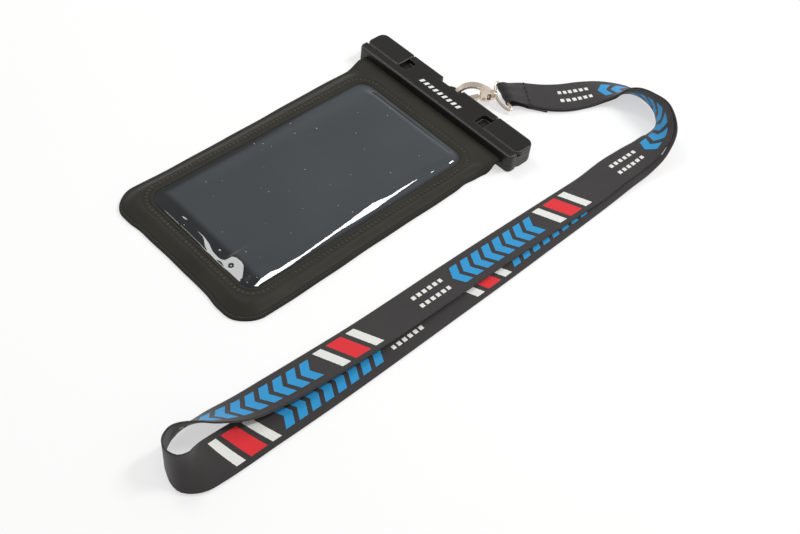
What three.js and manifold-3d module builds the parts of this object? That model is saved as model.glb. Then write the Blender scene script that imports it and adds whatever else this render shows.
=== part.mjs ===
// A waterproof phone pouch with a clamp bar, two swing-out locking levers, a clasp and a lanyard.
// Millimetres, +Z up. X runs across the pouch, Y from the pouch to the lanyard eye.
// The origin is the middle of the clamp's underside, which lies on the table.
import * as THREE from 'three';
import { mergeVertices } from 'three/addons/utils/BufferGeometryUtils.js';
import Module from 'manifold-3d';

const wasm = await Module();
wasm.setup();

// Driving dimensions

const GAP = 0.3; // clearance between neighbouring pieces
const FINE = 0.05; // overrun of a cutter past the face it cuts

// Clamp bar
const CLAMP_OVERHANG = 6; // past each side of the pouch
const CLAMP_DEPTH = 19.6;
const CLAMP_HEIGHT = 11.6;
const REAR_JAW_HEIGHT = 4.4;
const CLAMP_INNER_CORNER = 3;
const CLAMP_OUTER_CORNER = 4.5;
const CLAMP_TOP_FILLET = 1.3;
const CLAMP_BOTTOM_FILLET = 0.9;
const SHEET_GRIP = 10.4; // how far the sheets reach into the clamp
const SEAL_WIDTH = 1.8;
const SEAL_DEPTH = 1.1;
const SEAL_INSET = 5; // seal's middle, from the clamp's pouch side

// Locking levers
const LEVER_LENGTH = 26.6;
const LEVER_STRIP = 5.2; // width of the fixed strip beside each lever
const LEVER_TOP_PLATE = 2.6;
const LEVER_BOTTOM_PLATE = 1.6;
const LEVER_WEB = 1.8;
const LEVER_HINGE_RADIUS = 4; // plate edge around the pin
const LEVER_PIN_RADIUS = 1.5;
const LEVER_PIN_RECESS = 0.5;
const LEVER_PIN_IN_PLATE = 0.9;
const FINGER_RECESS_LENGTH = 6;
const FINGER_RECESS_RIM = 5.1; // fixed rim on its outer side

// Lanyard eye on the rear jaw
const EYE_X = -2;
const EYE_INSET = 2.6; // its centre, in from the clamp's outer face
const EYE_INNER_RADIUS = 5;
const EYE_WALL = 2.4;
const EYE_BOTTOM = 2.3;
const EYE_THICKNESS = 2.6;
const NOTCH_MARGIN = 1;

// Pouch
const POUCH_WIDTH = 108;
const POUCH_LENGTH = 176; // below the clamp
const POUCH_CORNER = 14;
const SHEET_THICKNESS = 0.6;
const FILM_THICKNESS = 0.5;
const WELD_EDGE_HEIGHT = 0.9; // underside of the front sheet at its welded rim
const FRAME_RISE = 3.7; // front sheet's rise from its rim to the window
const FRAME_FLAT = 3.7; // level border beside the window
const NECK_LENGTH = 14; // stretch over which the front sheet rises into the clamp
const BACK_NECK_LENGTH = 11;
const NECK_VALLEY = 1;
const SIDE_BORDER = 13; // from the pouch's edge to the window
const BOTTOM_BORDER = 14.2;
const TOP_BORDER = 13.4;
const WINDOW_CORNER = 8;
const FILM_LAP = 2.6; // film under the frame, outside the opening
const FILM_BULGE = 0.5;
const FILM_BULGE_REACH = 30; // in from the opening's edge

// Clasp, in its own frame: s along its length, n across, z up
const CLASP_DIRECTION = 48; // degrees from +X
const CLASP_WIDTH = 4.2;
const CLASP_SEAT = 6.2; // from the eye's centre to the clasp's zero
const SWIVEL_HEIGHT = 6.2;
const GATE_PIVOT_S = 13.3;
const GATE_PIVOT_Z = 4.6;
const GATE_PIN_RADIUS = 0.7;
const GATE_HUB_RADIUS = 1.5;
const GATE_TONGUE = 1.6;
const GATE_WIDTH = 3.6;
const GATE_BLADE_END = 10.2;
const GATE_TIP = 2.4;
const CHEEK_START = 11.3;
const SLOT_TOP = 8.5;
const SLOT_END = 15.1;
const SPRING_RADIUS = 0.6;
const SPRING_WIRE = 0.14;
const SPRING_TURNS = 3;
const SPRING_S = 12.6;
const BARREL_START = 17;
const BARREL_LENGTH = 1.8;
const BARREL_RADIUS = 3.2;
const SHANK_RADIUS = 1;
const SHANK_HEAD_RADIUS = 1.8;
const SHANK_HEAD_LENGTH = 1.1;

// Swivel ring
const RING_TWIST = 22; // degrees about the clasp's length
const RING_WIRE = 0.95;
const RING_HALF_WIDTH = 8.45;
const RING_START = 21;
const RING_SHOULDER = 24;
const RING_BAR = 28.6;
const RING_CORNER = 2;

// Lanyard
const STRAP_WIDTH = 20;
const STRAP_THICKNESS = 0.9;
const STRAP_SPACING = 1.3; // between the middles of two doubled layers
const FOLD_RADIUS = 3.2;
const FOLD_WIDTH = 13.6; // strap bunched inside the ring

// Worked out from the sizes above

const halfLength = POUCH_WIDTH / 2 + CLAMP_OVERHANG;
const halfDepth = CLAMP_DEPTH / 2;
const innerFace = -halfDepth;
const outerFace = halfDepth;
const frontJawBottom = REAR_JAW_HEIGHT + GAP;
const backSheetNeck = REAR_JAW_HEIGHT + GAP;
const frontSheetNeck = backSheetNeck + SHEET_THICKNESS + GAP;
const channelTop = frontSheetNeck + SHEET_THICKNESS + GAP;
const sheetEnd = innerFace + SHEET_GRIP;
const leverSeam = innerFace + LEVER_STRIP + GAP;
const leverInnerEnd = halfLength - LEVER_LENGTH;
const pinX = halfLength - LEVER_HINGE_RADIUS;
const pinY = leverSeam + LEVER_HINGE_RADIUS;
const webInner = outerFace - LEVER_WEB;
const webArc = webInner - pinY;
const plateUnderside = CLAMP_HEIGHT - LEVER_TOP_PLATE;
const reliefFloor = plateUnderside - GAP;
const reliefCeiling = LEVER_BOTTOM_PLATE + GAP;
const leverSweep = Math.hypot(pinX - leverInnerEnd, LEVER_HINGE_RADIUS);
const reliefStart = pinX - leverSweep - GAP;
const pinHole = LEVER_PIN_RADIUS + GAP;
const eyeY = outerFace - EYE_INSET;
const eyeOuterRadius = EYE_INNER_RADIUS + EYE_WALL;
const eyeTop = EYE_BOTTOM + EYE_THICKNESS;
const sealY = innerFace + SEAL_INSET;
const frameSlope = SIDE_BORDER - FRAME_FLAT;
const windowTop = innerFace - TOP_BORDER;

// Geometry helpers

function planRing(plan, inset, z) {
  const cornerSteps = plan.steps ?? 6;
  const corners = [
    [plan.x1, plan.y0, -1, 1, -Math.PI / 2, plan.r[0]],
    [plan.x1, plan.y1, -1, -1, 0, plan.r[1]],
    [plan.x0, plan.y1, 1, -1, Math.PI / 2, plan.r[2]],
    [plan.x0, plan.y0, 1, 1, Math.PI, plan.r[3]],
  ];
  const ring = [];
  for (const [x, y, sx, sy, start, radius] of corners) {
    const r = Math.max(radius - inset, 0.05);
    const centreX = x + sx * (r + inset);
    const centreY = y + sy * (r + inset);
    for (let i = 0; i <= cornerSteps; i++) {
      const angle = start + (i / cornerSteps) * (Math.PI / 2);
      ring.push(new THREE.Vector3(centreX + r * Math.cos(angle), centreY + r * Math.sin(angle), z));
    }
  }
  return ring;
}

// Joins rings of equally many points into a closed skin; a closed loft has no ends.
function loft(rings, closed = false) {
  const count = rings[0].length;
  const positions = [];
  const indices = [];
  for (const ring of rings) {
    for (const p of ring) positions.push(p.x, p.y, p.z);
  }
  const last = closed ? rings.length : rings.length - 1;
  for (let j = 0; j < last; j++) {
    const a = j * count;
    const b = ((j + 1) % rings.length) * count;
    for (let i = 0; i < count; i++) {
      const k = (i + 1) % count;
      indices.push(a + i, a + k, b + k, a + i, b + k, b + i);
    }
  }
  if (!closed) {
    addCap(rings[0], 0, positions, indices, true);
    addCap(rings[rings.length - 1], (rings.length - 1) * count, positions, indices, false);
  }
  const geometry = new THREE.BufferGeometry();
  geometry.setAttribute('position', new THREE.Float32BufferAttribute(positions, 3));
  geometry.setIndex(indices);
  return facingOut(geometry);
}

function addCap(ring, offset, positions, indices, reversed) {
  const centre = new THREE.Vector3();
  for (const p of ring) centre.add(p);
  centre.divideScalar(ring.length);
  const hub = positions.length / 3;
  positions.push(centre.x, centre.y, centre.z);
  for (let i = 0; i < ring.length; i++) {
    const k = (i + 1) % ring.length;
    if (reversed) indices.push(hub, offset + k, offset + i);
    else indices.push(hub, offset + i, offset + k);
  }
}

function facingOut(geometry) {
  const p = geometry.getAttribute('position');
  const index = geometry.getIndex();
  const a = new THREE.Vector3();
  const b = new THREE.Vector3();
  const c = new THREE.Vector3();
  let volume = 0;
  for (let i = 0; i < index.count; i += 3) {
    a.fromBufferAttribute(p, index.getX(i));
    b.fromBufferAttribute(p, index.getX(i + 1));
    c.fromBufferAttribute(p, index.getX(i + 2));
    volume += a.dot(b.cross(c));
  }
  if (volume < 0) {
    const array = index.array;
    for (let i = 0; i < array.length; i += 3) [array[i], array[i + 1]] = [array[i + 1], array[i]];
  }
  return geometry;
}

function solid(geometry) {
  const bare = geometry.clone();
  for (const name of Object.keys(bare.attributes)) {
    if (name !== 'position') bare.deleteAttribute(name);
  }
  const merged = mergeVertices(bare, 1e-4);
  const mesh = new wasm.Mesh({
    numProp: 3,
    vertProperties: new Float32Array(merged.getAttribute('position').array),
    triVerts: new Uint32Array(merged.getIndex().array),
  });
  return new wasm.Manifold(mesh);
}

function geometryOf(manifold) {
  const mesh = manifold.getMesh();
  const geometry = new THREE.BufferGeometry();
  geometry.setAttribute('position', new THREE.BufferAttribute(mesh.vertProperties, 3));
  geometry.setIndex(new THREE.BufferAttribute(mesh.triVerts, 1));
  return geometry;
}

function cut(body, ...tools) {
  return tools.reduce((rest, tool) => rest.subtract(tool), body);
}

function join(body, ...others) {
  return others.reduce((whole, other) => whole.add(other), body);
}

function box(x0, x1, y0, y1, z0, z1) {
  const geometry = new THREE.BoxGeometry(x1 - x0, y1 - y0, z1 - z0);
  geometry.translate((x0 + x1) / 2, (y0 + y1) / 2, (z0 + z1) / 2);
  return solid(geometry);
}

function post(x, y, radius, z0, z1, sides = 32) {
  const geometry = new THREE.CylinderGeometry(radius, radius, z1 - z0, sides);
  geometry.rotateX(Math.PI / 2);
  geometry.translate(x, y, (z0 + z1) / 2);
  return solid(geometry);
}

// Rings of a block whose top and bottom edges are rounded.
function softBlock(plan, z0, z1, bottomFillet, topFillet) {
  const rings = [];
  const steps = 3;
  for (let i = 0; i <= steps && bottomFillet > 0; i++) {
    const angle = (i / steps) * (Math.PI / 2);
    rings.push(planRing(plan, bottomFillet * (1 - Math.sin(angle)), z0 + bottomFillet * (1 - Math.cos(angle))));
  }
  if (bottomFillet === 0) rings.push(planRing(plan, 0, z0));
  if (topFillet === 0) rings.push(planRing(plan, 0, z1));
  for (let i = 0; i <= steps && topFillet > 0; i++) {
    const angle = (i / steps) * (Math.PI / 2);
    rings.push(planRing(plan, topFillet * (1 - Math.cos(angle)), z1 - topFillet * (1 - Math.sin(angle))));
  }
  return solid(loft(rings));
}

function mirrored(manifold, side) {
  if (side > 0) return manifold;
  const geometry = geometryOf(manifold);
  geometry.scale(-1, 1, 1);
  return solid(facingOut(geometry));
}

const smooth = (t) => THREE.MathUtils.smoothstep(t, 0, 1);

// Materials

const finish = (color, roughness, metalness = 0) =>
  new THREE.MeshStandardMaterial({ color, roughness, metalness });
const materials = {
  frame: finish(0x33302d, 0.6),
  film: new THREE.MeshStandardMaterial({ color: 0x4a5055, roughness: 0.1, transparent: true, opacity: 0.4 }),
  clamp: finish(0x232221, 0.45),
  seal: finish(0x3a3a3a, 0.8),
  steel: finish(0xb9b5ad, 0.3, 1),
  nickel: finish(0xd6cbbb, 0.25, 1),
  strap: finish(0x2a2828, 0.7),
};

function mesh(name, geometry, material) {
  const result = new THREE.Mesh(geometry, material);
  result.name = name;
  return result;
}

// Clamp

const clampPlan = {
  x0: -halfLength,
  x1: halfLength,
  y0: innerFace,
  y1: outerFace,
  r: [CLAMP_INNER_CORNER, CLAMP_OUTER_CORNER, CLAMP_OUTER_CORNER, CLAMP_INNER_CORNER],
};

// What a jaw loses so that a lever's web can lie against it and turn with the lever.
function webRelief(side) {
  const z0 = -FINE;
  const z1 = CLAMP_HEIGHT + FINE;
  const face = box(reliefStart, pinX, webInner - GAP, outerFace + 1, z0, z1);
  const cornerBlock = box(pinX - FINE, halfLength + 1, pinY, outerFace + 1, z0, z1);
  const corner = cut(cornerBlock, post(pinX, pinY, webArc - GAP, z0 - 1, z1 + 1, 96));
  return mirrored(join(face, corner), side);
}

function leverRelief(side, z0, z1) {
  return mirrored(box(reliefStart, halfLength + 1, leverSeam - GAP, outerFace + 1, z0, z1), side);
}

function frontJaw() {
  const body = softBlock(clampPlan, frontJawBottom, CLAMP_HEIGHT, 0, CLAMP_TOP_FILLET);
  const top = CLAMP_HEIGHT + 1;
  const channelHalf = POUCH_WIDTH / 2 + GAP * 2;
  const tools = [
    box(-channelHalf, channelHalf, innerFace - 1, sheetEnd + GAP, frontJawBottom - 1, channelTop),
    box(
      EYE_X - eyeOuterRadius - NOTCH_MARGIN,
      EYE_X + eyeOuterRadius + NOTCH_MARGIN,
      eyeY - NOTCH_MARGIN - GAP,
      outerFace + 1,
      frontJawBottom - 1,
      top,
    ),
  ];
  for (const side of [-1, 1]) {
    const recess = softBlock(
      {
        x0: reliefStart - FINGER_RECESS_LENGTH,
        x1: reliefStart + 1,
        y0: leverSeam,
        y1: outerFace - FINGER_RECESS_RIM,
        r: [0.1, 0.1, 2.5, 1.5],
      },
      reliefFloor,
      top,
      0.6,
      0,
    );
    tools.push(leverRelief(side, reliefFloor, top), webRelief(side), mirrored(recess, side));
    tools.push(post(side * pinX, pinY, pinHole, 0, top));
  }
  return geometryOf(cut(body, ...tools));
}

function rearJaw() {
  const body = softBlock(clampPlan, 0, REAR_JAW_HEIGHT, CLAMP_BOTTOM_FILLET, 0);
  const tools = [
    box(
      -POUCH_WIDTH / 2,
      POUCH_WIDTH / 2,
      sealY - SEAL_WIDTH / 2 - GAP,
      sealY + SEAL_WIDTH / 2 + GAP,
      REAR_JAW_HEIGHT - SEAL_DEPTH - GAP,
      REAR_JAW_HEIGHT + 1,
    ),
    box(
      EYE_X - eyeOuterRadius - NOTCH_MARGIN,
      EYE_X + eyeOuterRadius + NOTCH_MARGIN,
      eyeY - NOTCH_MARGIN,
      outerFace + 1,
      -1,
      EYE_BOTTOM,
    ),
  ];
  for (const side of [-1, 1]) {
    tools.push(leverRelief(side, -1, reliefCeiling), webRelief(side));
    tools.push(post(side * pinX, pinY, pinHole, -1, REAR_JAW_HEIGHT + 1));
  }
  const lug = post(EYE_X, eyeY, eyeOuterRadius, EYE_BOTTOM, eyeTop, 40);
  const lugFront = box(
    EYE_X - eyeOuterRadius,
    EYE_X + eyeOuterRadius,
    eyeY - NOTCH_MARGIN,
    eyeY + eyeOuterRadius + 1,
    0,
    CLAMP_HEIGHT,
  );
  const hole = post(EYE_X, eyeY, EYE_INNER_RADIUS, -1, CLAMP_HEIGHT, 40);
  const whole = join(cut(body, ...tools), lug.intersect(lugFront));
  return geometryOf(cut(whole, hole.intersect(lugFront)));
}

function sealStrip() {
  return geometryOf(
    box(
      -POUCH_WIDTH / 2 + GAP,
      POUCH_WIDTH / 2 - GAP,
      sealY - SEAL_WIDTH / 2,
      sealY + SEAL_WIDTH / 2,
      REAR_JAW_HEIGHT - SEAL_DEPTH,
      REAR_JAW_HEIGHT,
    ),
  );
}

function lever(side) {
  const plan = {
    x0: leverInnerEnd,
    x1: halfLength,
    y0: leverSeam,
    y1: outerFace,
    r: [LEVER_HINGE_RADIUS, CLAMP_OUTER_CORNER, 1.5, 1.2],
  };
  const body = softBlock(plan, 0, CLAMP_HEIGHT, CLAMP_BOTTOM_FILLET, 1);
  const z0 = LEVER_BOTTOM_PLATE;
  const z1 = plateUnderside;
  const shaped = cut(
    body,
    box(leverInnerEnd - 1, pinX, leverSeam - 1, webInner, z0, z1),
    post(pinX, pinY, webArc, z0, z1, 96),
    post(pinX, pinY, pinHole, -1, plateUnderside + LEVER_PIN_IN_PLATE + GAP),
  );
  return geometryOf(mirrored(shaped, side));
}

function leverPin(side) {
  const z1 = plateUnderside + LEVER_PIN_IN_PLATE;
  return geometryOf(post(side * pinX, pinY, LEVER_PIN_RADIUS, LEVER_PIN_RECESS, z1));
}

// Pouch

const pouchPlan = {
  x0: -POUCH_WIDTH / 2,
  x1: POUCH_WIDTH / 2,
  y0: innerFace - POUCH_LENGTH,
  y1: sheetEnd,
  r: [POUCH_CORNER, 1, 1, POUCH_CORNER],
  steps: 8,
};
const windowPlan = {
  x0: pouchPlan.x0 + SIDE_BORDER,
  x1: pouchPlan.x1 - SIDE_BORDER,
  y0: pouchPlan.y0 + BOTTOM_BORDER,
  y1: windowTop,
  r: [WINDOW_CORNER, WINDOW_CORNER, WINDOW_CORNER, WINDOW_CORNER],
  steps: 8,
};

// 0 on the lying pouch, 1 inside the clamp
const neckShare = (y, length) => smooth((y - innerFace + length) / (length - 1));

function backSheetTop(x, y) {
  return SHEET_THICKNESS + neckShare(y, BACK_NECK_LENGTH) * backSheetNeck;
}

function frontSheetTop(x, y) {
  const fromSide = POUCH_WIDTH / 2 - Math.abs(x);
  const fromBottom = y - pouchPlan.y0;
  const fromRim = Math.min(fromSide, fromBottom);
  const lying = WELD_EDGE_HEIGHT + SHEET_THICKNESS + FRAME_RISE * smooth(fromRim / frameSlope);
  const valleyShare = Math.sin(Math.PI * THREE.MathUtils.clamp((y - windowTop) / TOP_BORDER, 0, 1));
  const held = frontSheetNeck + SHEET_THICKNESS;
  const share = neckShare(y, NECK_LENGTH);
  const middle = smooth(fromRim / frameSlope);
  return lying * (1 - share) + held * share - NECK_VALLEY * valleyShare * middle * (1 - share);
}

const bothSides = (values) => [...values.map((v) => -v), ...values.toReversed()];
const shared = (from, to, shares) => shares.map((t) => THREE.MathUtils.lerp(from, to, t));
const rimX = POUCH_WIDTH / 2;
const sheetColumns = bothSides(shared(rimX, rimX - frameSlope, [0, 0.2, 0.4, 0.6, 0.8, 1]));
const sheetRows = [
  ...shared(pouchPlan.y0, pouchPlan.y0 + frameSlope, [0, 0.2, 0.4, 0.6, 0.8, 1]),
  ...shared(innerFace - NECK_LENGTH, innerFace - 1, [0, 0.15, 0.3, 0.45, 0.6, 0.75, 0.9, 1]),
  sheetEnd,
];

// A sheet over a grid of columns and rows, trimmed to its outline.
function sheet(plan, top, thickness, columns, rows) {
  const sections = rows.map((y) => {
    const upper = columns.map((x) => new THREE.Vector3(x, y, top(x, y)));
    const lower = columns.map((x) => new THREE.Vector3(x, y, top(x, y) - thickness));
    return [...upper, ...lower.reverse()];
  });
  const outline = solid(loft([planRing(plan, 0, -1), planRing(plan, 0, CLAMP_HEIGHT)]));
  return solid(loft(sections)).intersect(outline);
}

function backPanel() {
  return geometryOf(sheet(pouchPlan, backSheetTop, SHEET_THICKNESS, sheetColumns, sheetRows));
}

function frontPanel() {
  const whole = sheet(pouchPlan, frontSheetTop, SHEET_THICKNESS, sheetColumns, sheetRows);
  const opening = solid(loft([planRing(windowPlan, 0, -1), planRing(windowPlan, 0, CLAMP_HEIGHT)]));
  return geometryOf(cut(whole, opening));
}

function windowFilm() {
  const plan = {
    ...windowPlan,
    x0: windowPlan.x0 - FILM_LAP,
    x1: windowPlan.x1 + FILM_LAP,
    y0: windowPlan.y0 - FILM_LAP,
    y1: windowPlan.y1 + FILM_LAP,
    r: windowPlan.r.map((r) => r + FILM_LAP),
  };
  const edgeTop = WELD_EDGE_HEIGHT + FRAME_RISE - GAP * 2;
  const filmTop = (x, y) => {
    const inside = Math.min(windowPlan.x1 - Math.abs(x), y - windowPlan.y0, windowPlan.y1 - y);
    return edgeTop + FILM_BULGE * smooth(inside / FILM_BULGE_REACH);
  };
  const steps = [0, 0.25, 0.5, 0.75, 1].map((t) => t * FILM_BULGE_REACH);
  const columns = bothSides([plan.x1, ...steps.map((d) => windowPlan.x1 - d)]);
  const ends = steps.map((d) => windowPlan.y1 - d).reverse();
  const rows = [plan.y0, ...steps.map((d) => windowPlan.y0 + d), ...ends, plan.y1];
  return geometryOf(sheet(plan, filmTop, FILM_THICKNESS, columns, rows));
}

// Clasp

function profile(points, width, curved = false) {
  const shape = new THREE.Shape();
  shape.moveTo(...points[0]);
  if (curved) shape.splineThru(points.slice(1).map(([s, z]) => new THREE.Vector2(s, z)));
  else for (const p of points.slice(1)) shape.lineTo(...p);
  return acrossClasp(shape, width);
}

// Turns a shape drawn in s and z into a solid across the clasp.
function acrossClasp(shape, width) {
  const geometry = new THREE.ExtrudeGeometry(shape, { depth: width, bevelEnabled: false, curveSegments: 10 });
  geometry.translate(0, 0, -width / 2);
  geometry.rotateX(Math.PI / 2);
  return solid(geometry);
}

function crossPin(s, z, radius, width) {
  const geometry = new THREE.CylinderGeometry(radius, radius, width, 24);
  geometry.translate(s, 0, z);
  return solid(geometry);
}

function lengthwise(radius, s0, s1, z, sides = 28) {
  const geometry = new THREE.CylinderGeometry(radius, radius, s1 - s0, sides);
  geometry.rotateZ(Math.PI / 2);
  geometry.translate((s0 + s1) / 2, 0, z);
  return solid(geometry);
}

function claspHook() {
  const shape = new THREE.Shape();
  shape.moveTo(BARREL_START + FINE, 9.4);
  shape.splineThru(
    [
      [14.6, 10.8],
      [10.6, 12.6],
      [6.2, 13.2],
      [2, 12.2],
      [-1.4, 9.4],
      [-3.3, 6],
      [-3.6, 2.8],
      [-2.9, 0.9],
      [-1.4, 0.3],
      [0.6, 0.3],
    ].map(([s, z]) => new THREE.Vector2(s, z)),
  );
  shape.lineTo(GATE_TIP - GAP, 0.6);
  shape.lineTo(GATE_TIP - GAP - 0.4, 1.75);
  shape.lineTo(-1.3, 1.75);
  shape.splineThru(
    [
      [-2.05, 2.3],
      [-2.15, 4],
      [-1.6, 6.6],
      [0.3, 9.4],
      [3.2, 11.3],
      [6.6, 11.8],
      [9.6, 11],
      [CHEEK_START, 9.4],
    ].map(([s, z]) => new THREE.Vector2(s, z)),
  );
  shape.lineTo(CHEEK_START, 3.1);
  shape.lineTo(12, 2.6);
  shape.lineTo(BARREL_START + FINE, 2.8);
  shape.closePath();
  const body = acrossClasp(shape, CLASP_WIDTH);
  const barrel = lengthwise(BARREL_RADIUS, BARREL_START, BARREL_START + BARREL_LENGTH, SWIVEL_HEIGHT);
  const slotHalf = GATE_TONGUE / 2 + GAP;
  const headRoom = SHANK_HEAD_RADIUS + GAP;
  return geometryOf(
    cut(
      join(body, barrel),
      box(CHEEK_START - 1, SLOT_END, -slotHalf, slotHalf, 0, SLOT_TOP),
      box(SLOT_END, BARREL_START, -CLASP_WIDTH, CLASP_WIDTH, SWIVEL_HEIGHT - headRoom, SWIVEL_HEIGHT + headRoom),
      lengthwise(SHANK_RADIUS + GAP, SLOT_END, BARREL_START + BARREL_LENGTH + 1, SWIVEL_HEIGHT),
      crossPin(GATE_PIVOT_S, GATE_PIVOT_Z, GATE_PIN_RADIUS + GAP, CLASP_WIDTH + 1),
    ),
  );
}

function claspGate() {
  const blade = profile(
    [
      [GATE_TIP, 0.7],
      [GATE_TIP + 1, 0.3],
      [7, 1.5],
      [8.4, 0.9],
      [GATE_BLADE_END, 2.9],
      [GATE_BLADE_END, 5],
      [6, 3.4],
      [GATE_TIP, 2.2],
    ],
    GATE_WIDTH,
  );
  const tongue = profile(
    [
      [GATE_BLADE_END - 1, 2.9],
      [GATE_PIVOT_S, GATE_PIVOT_Z - GATE_HUB_RADIUS],
      [GATE_PIVOT_S, GATE_PIVOT_Z + GATE_HUB_RADIUS],
      [GATE_BLADE_END - 1, 4.7],
    ],
    GATE_TONGUE,
  );
  const hub = crossPin(GATE_PIVOT_S, GATE_PIVOT_Z, GATE_HUB_RADIUS, GATE_TONGUE);
  const hole = crossPin(GATE_PIVOT_S, GATE_PIVOT_Z, GATE_PIN_RADIUS + GAP, CLASP_WIDTH);
  return geometryOf(cut(join(blade, tongue, hub), hole));
}

function gatePin() {
  return geometryOf(crossPin(GATE_PIVOT_S, GATE_PIVOT_Z, GATE_PIN_RADIUS, CLASP_WIDTH));
}

function gateSpring() {
  const bottom = GATE_PIVOT_Z + GATE_HUB_RADIUS + GAP + SPRING_WIRE;
  const top = SLOT_TOP - GAP - SPRING_WIRE;
  const stepsPerTurn = 12;
  const steps = SPRING_TURNS * stepsPerTurn;
  const path = [];
  for (let i = 0; i <= steps; i++) {
    const angle = (i / stepsPerTurn) * 2 * Math.PI;
    path.push(
      new THREE.Vector3(
        SPRING_S + SPRING_RADIUS * Math.cos(angle),
        SPRING_RADIUS * Math.sin(angle),
        THREE.MathUtils.lerp(bottom, top, i / steps),
      ),
    );
  }
  return wire(path, SPRING_WIRE, 6, false);
}

// A round wire along a list of points, with sections square to the path.
function wire(path, radius, sides, closed) {
  const rings = path.map((p, i) => {
    const before = path[closed ? (i - 1 + path.length) % path.length : Math.max(i - 1, 0)];
    const after = path[closed ? (i + 1) % path.length : Math.min(i + 1, path.length - 1)];
    const along = after.clone().sub(before).normalize();
    const up = new THREE.Vector3(0, 0, 1);
    const across = along.clone().cross(up).normalize();
    const over = across.clone().cross(along);
    return Array.from({ length: sides }, (_, k) => {
      const angle = (k / sides) * 2 * Math.PI;
      return p
        .clone()
        .addScaledVector(across, radius * Math.cos(angle))
        .addScaledVector(over, radius * Math.sin(angle));
    });
  });
  return loft(rings, closed);
}

function swivelRing() {
  const outline = new THREE.Path();
  const neck = 2.4;
  outline.moveTo(RING_START, neck);
  outline.quadraticCurveTo(RING_START + 0.4, RING_HALF_WIDTH - 1, RING_SHOULDER + 0.6, RING_HALF_WIDTH);
  outline.lineTo(RING_BAR - RING_CORNER, RING_HALF_WIDTH);
  outline.quadraticCurveTo(RING_BAR, RING_HALF_WIDTH, RING_BAR, RING_HALF_WIDTH - RING_CORNER);
  outline.lineTo(RING_BAR, -RING_HALF_WIDTH + RING_CORNER);
  outline.quadraticCurveTo(RING_BAR, -RING_HALF_WIDTH, RING_BAR - RING_CORNER, -RING_HALF_WIDTH);
  outline.lineTo(RING_SHOULDER + 0.6, -RING_HALF_WIDTH);
  outline.quadraticCurveTo(RING_START + 0.4, -RING_HALF_WIDTH + 1, RING_START, -neck);
  outline.closePath();
  const points = outline.getSpacedPoints(56).slice(0, -1);
  const loop = solid(wire(points.map((p) => new THREE.Vector3(p.x, p.y, 0)), RING_WIRE, 10, true));
  const shank = lengthwise(SHANK_RADIUS, SLOT_END + GAP, RING_START, 0, 20);
  const head = lengthwise(SHANK_HEAD_RADIUS, SLOT_END + GAP, SLOT_END + GAP + SHANK_HEAD_LENGTH, 0, 20);
  return geometryOf(join(loop, shank, head));
}

// Lanyard: one strip. Its first end is stitched between the layers near the ring. From there it runs
// doubled round the near bend, lies on its own return, loops back at the far end, comes home beneath,
// turns round the ring and ends under the stitch. Each station is its middle, the turn of its width in
// degrees, 0 upright and 90 flat to its left, and on the doubled stretch how far the layers have parted.

const claspAngle = THREE.MathUtils.degToRad(CLASP_DIRECTION);
const along = new THREE.Vector3(Math.cos(claspAngle), Math.sin(claspAngle), 0);
const twist = THREE.MathUtils.degToRad(RING_TWIST);
const claspOrigin = new THREE.Vector3(EYE_X, eyeY, 0).addScaledVector(along, CLASP_SEAT);
const barMiddle = claspOrigin.clone().addScaledVector(along, RING_BAR).setZ(SWIVEL_HEIGHT);
const barSide = new THREE.Vector3(0, 0, 1).cross(along).multiplyScalar(Math.cos(twist)).setZ(Math.sin(twist));
const foldUp = along.clone().cross(barSide);

const DOUBLED = [
  [26.3, 43.6, 4.4, -97, 0],
  [33.5, 51.6, 3.4, -97, 0],
  [39.3, 60.5, 2.7, -96, 0],
  [43.8, 71, 2.3, -93, 0],
  [49.5, 81.8, 3, -82, 0],
  [58.6, 90.2, 5.2, -66, 0],
  [70.2, 92, 8.6, -42, 0],
  [82.6, 88, 10.8, -19, 0.1],
  [91.7, 82, 11.3, 12, 0.4],
  [97.4, 74.5, 8.9, 45, 0.9],
  [99.3, 64, 5.2, 70, 1.4],
  [99.2, 51, 3, 84, 1.8],
  [98.9, 36.1, 2.4, 88, 2],
];
const UPPER_RUN = [
  [97.3, 18, 2.1, 88],
  [96.8, -5, 2, 88],
  [96, -35, 2, 88],
  [95.2, -65, 2, 87],
  [94.8, -95, 2.1, 87],
  [94.6, -122, 2.3, 86],
  [94.2, -148, 2.6, 85],
  [93, -174, 3, 83],
  [91.6, -197, 3.6, 79],
  [90, -216, 5.2, 69],
  [87, -230.2, 8, 50],
  [84.4, -239.8, 9.6, 31],
  [84, -246.9, 10.2, 17],
  [85.4, -251.8, 10.6, 7],
  [88.8, -256, 10.7, 0],
  [94, -258.3, 10.7, 0],
  [98.6, -258, 10.5, 8],
  [102.2, -255.2, 9.8, 24],
  [104, -249.7, 8.2, 41],
  [103.6, -241, 6.2, 56],
  [103, -230, 4.2, 68],
  [102.7, -216, 2.4, 80],
  [102.9, -200, 1, 88],
];
const LOWER_RUN = [
  [103.2, -178, 0.6, 90],
  [103.2, -145, 0.6, 90],
  [102.9, -105, 0.6, 90],
  [102.6, -65, 0.6, 90],
  [102, -30, 0.6, 90],
  [101.6, -5, 0.6, 90],
  [101.2, 16, 0.9, 90],
];

function stations(list) {
  const points = list.map(([x, y, z]) => new THREE.Vector3(x, y, z));
  return points.map((middle, i) => {
    const before = points[Math.max(i - 1, 0)];
    const after = points[Math.min(i + 1, points.length - 1)];
    const forward = after.clone().sub(before).normalize();
    const left = new THREE.Vector3(0, 0, 1).cross(forward).normalize();
    const turn = THREE.MathUtils.degToRad(list[i][3]);
    const width = forward.clone().cross(left).multiplyScalar(Math.cos(turn));
    width.addScaledVector(left, Math.sin(turn));
    return { middle, width, normal: forward.clone().cross(width), half: STRAP_WIDTH / 2 };
  });
}

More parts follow.
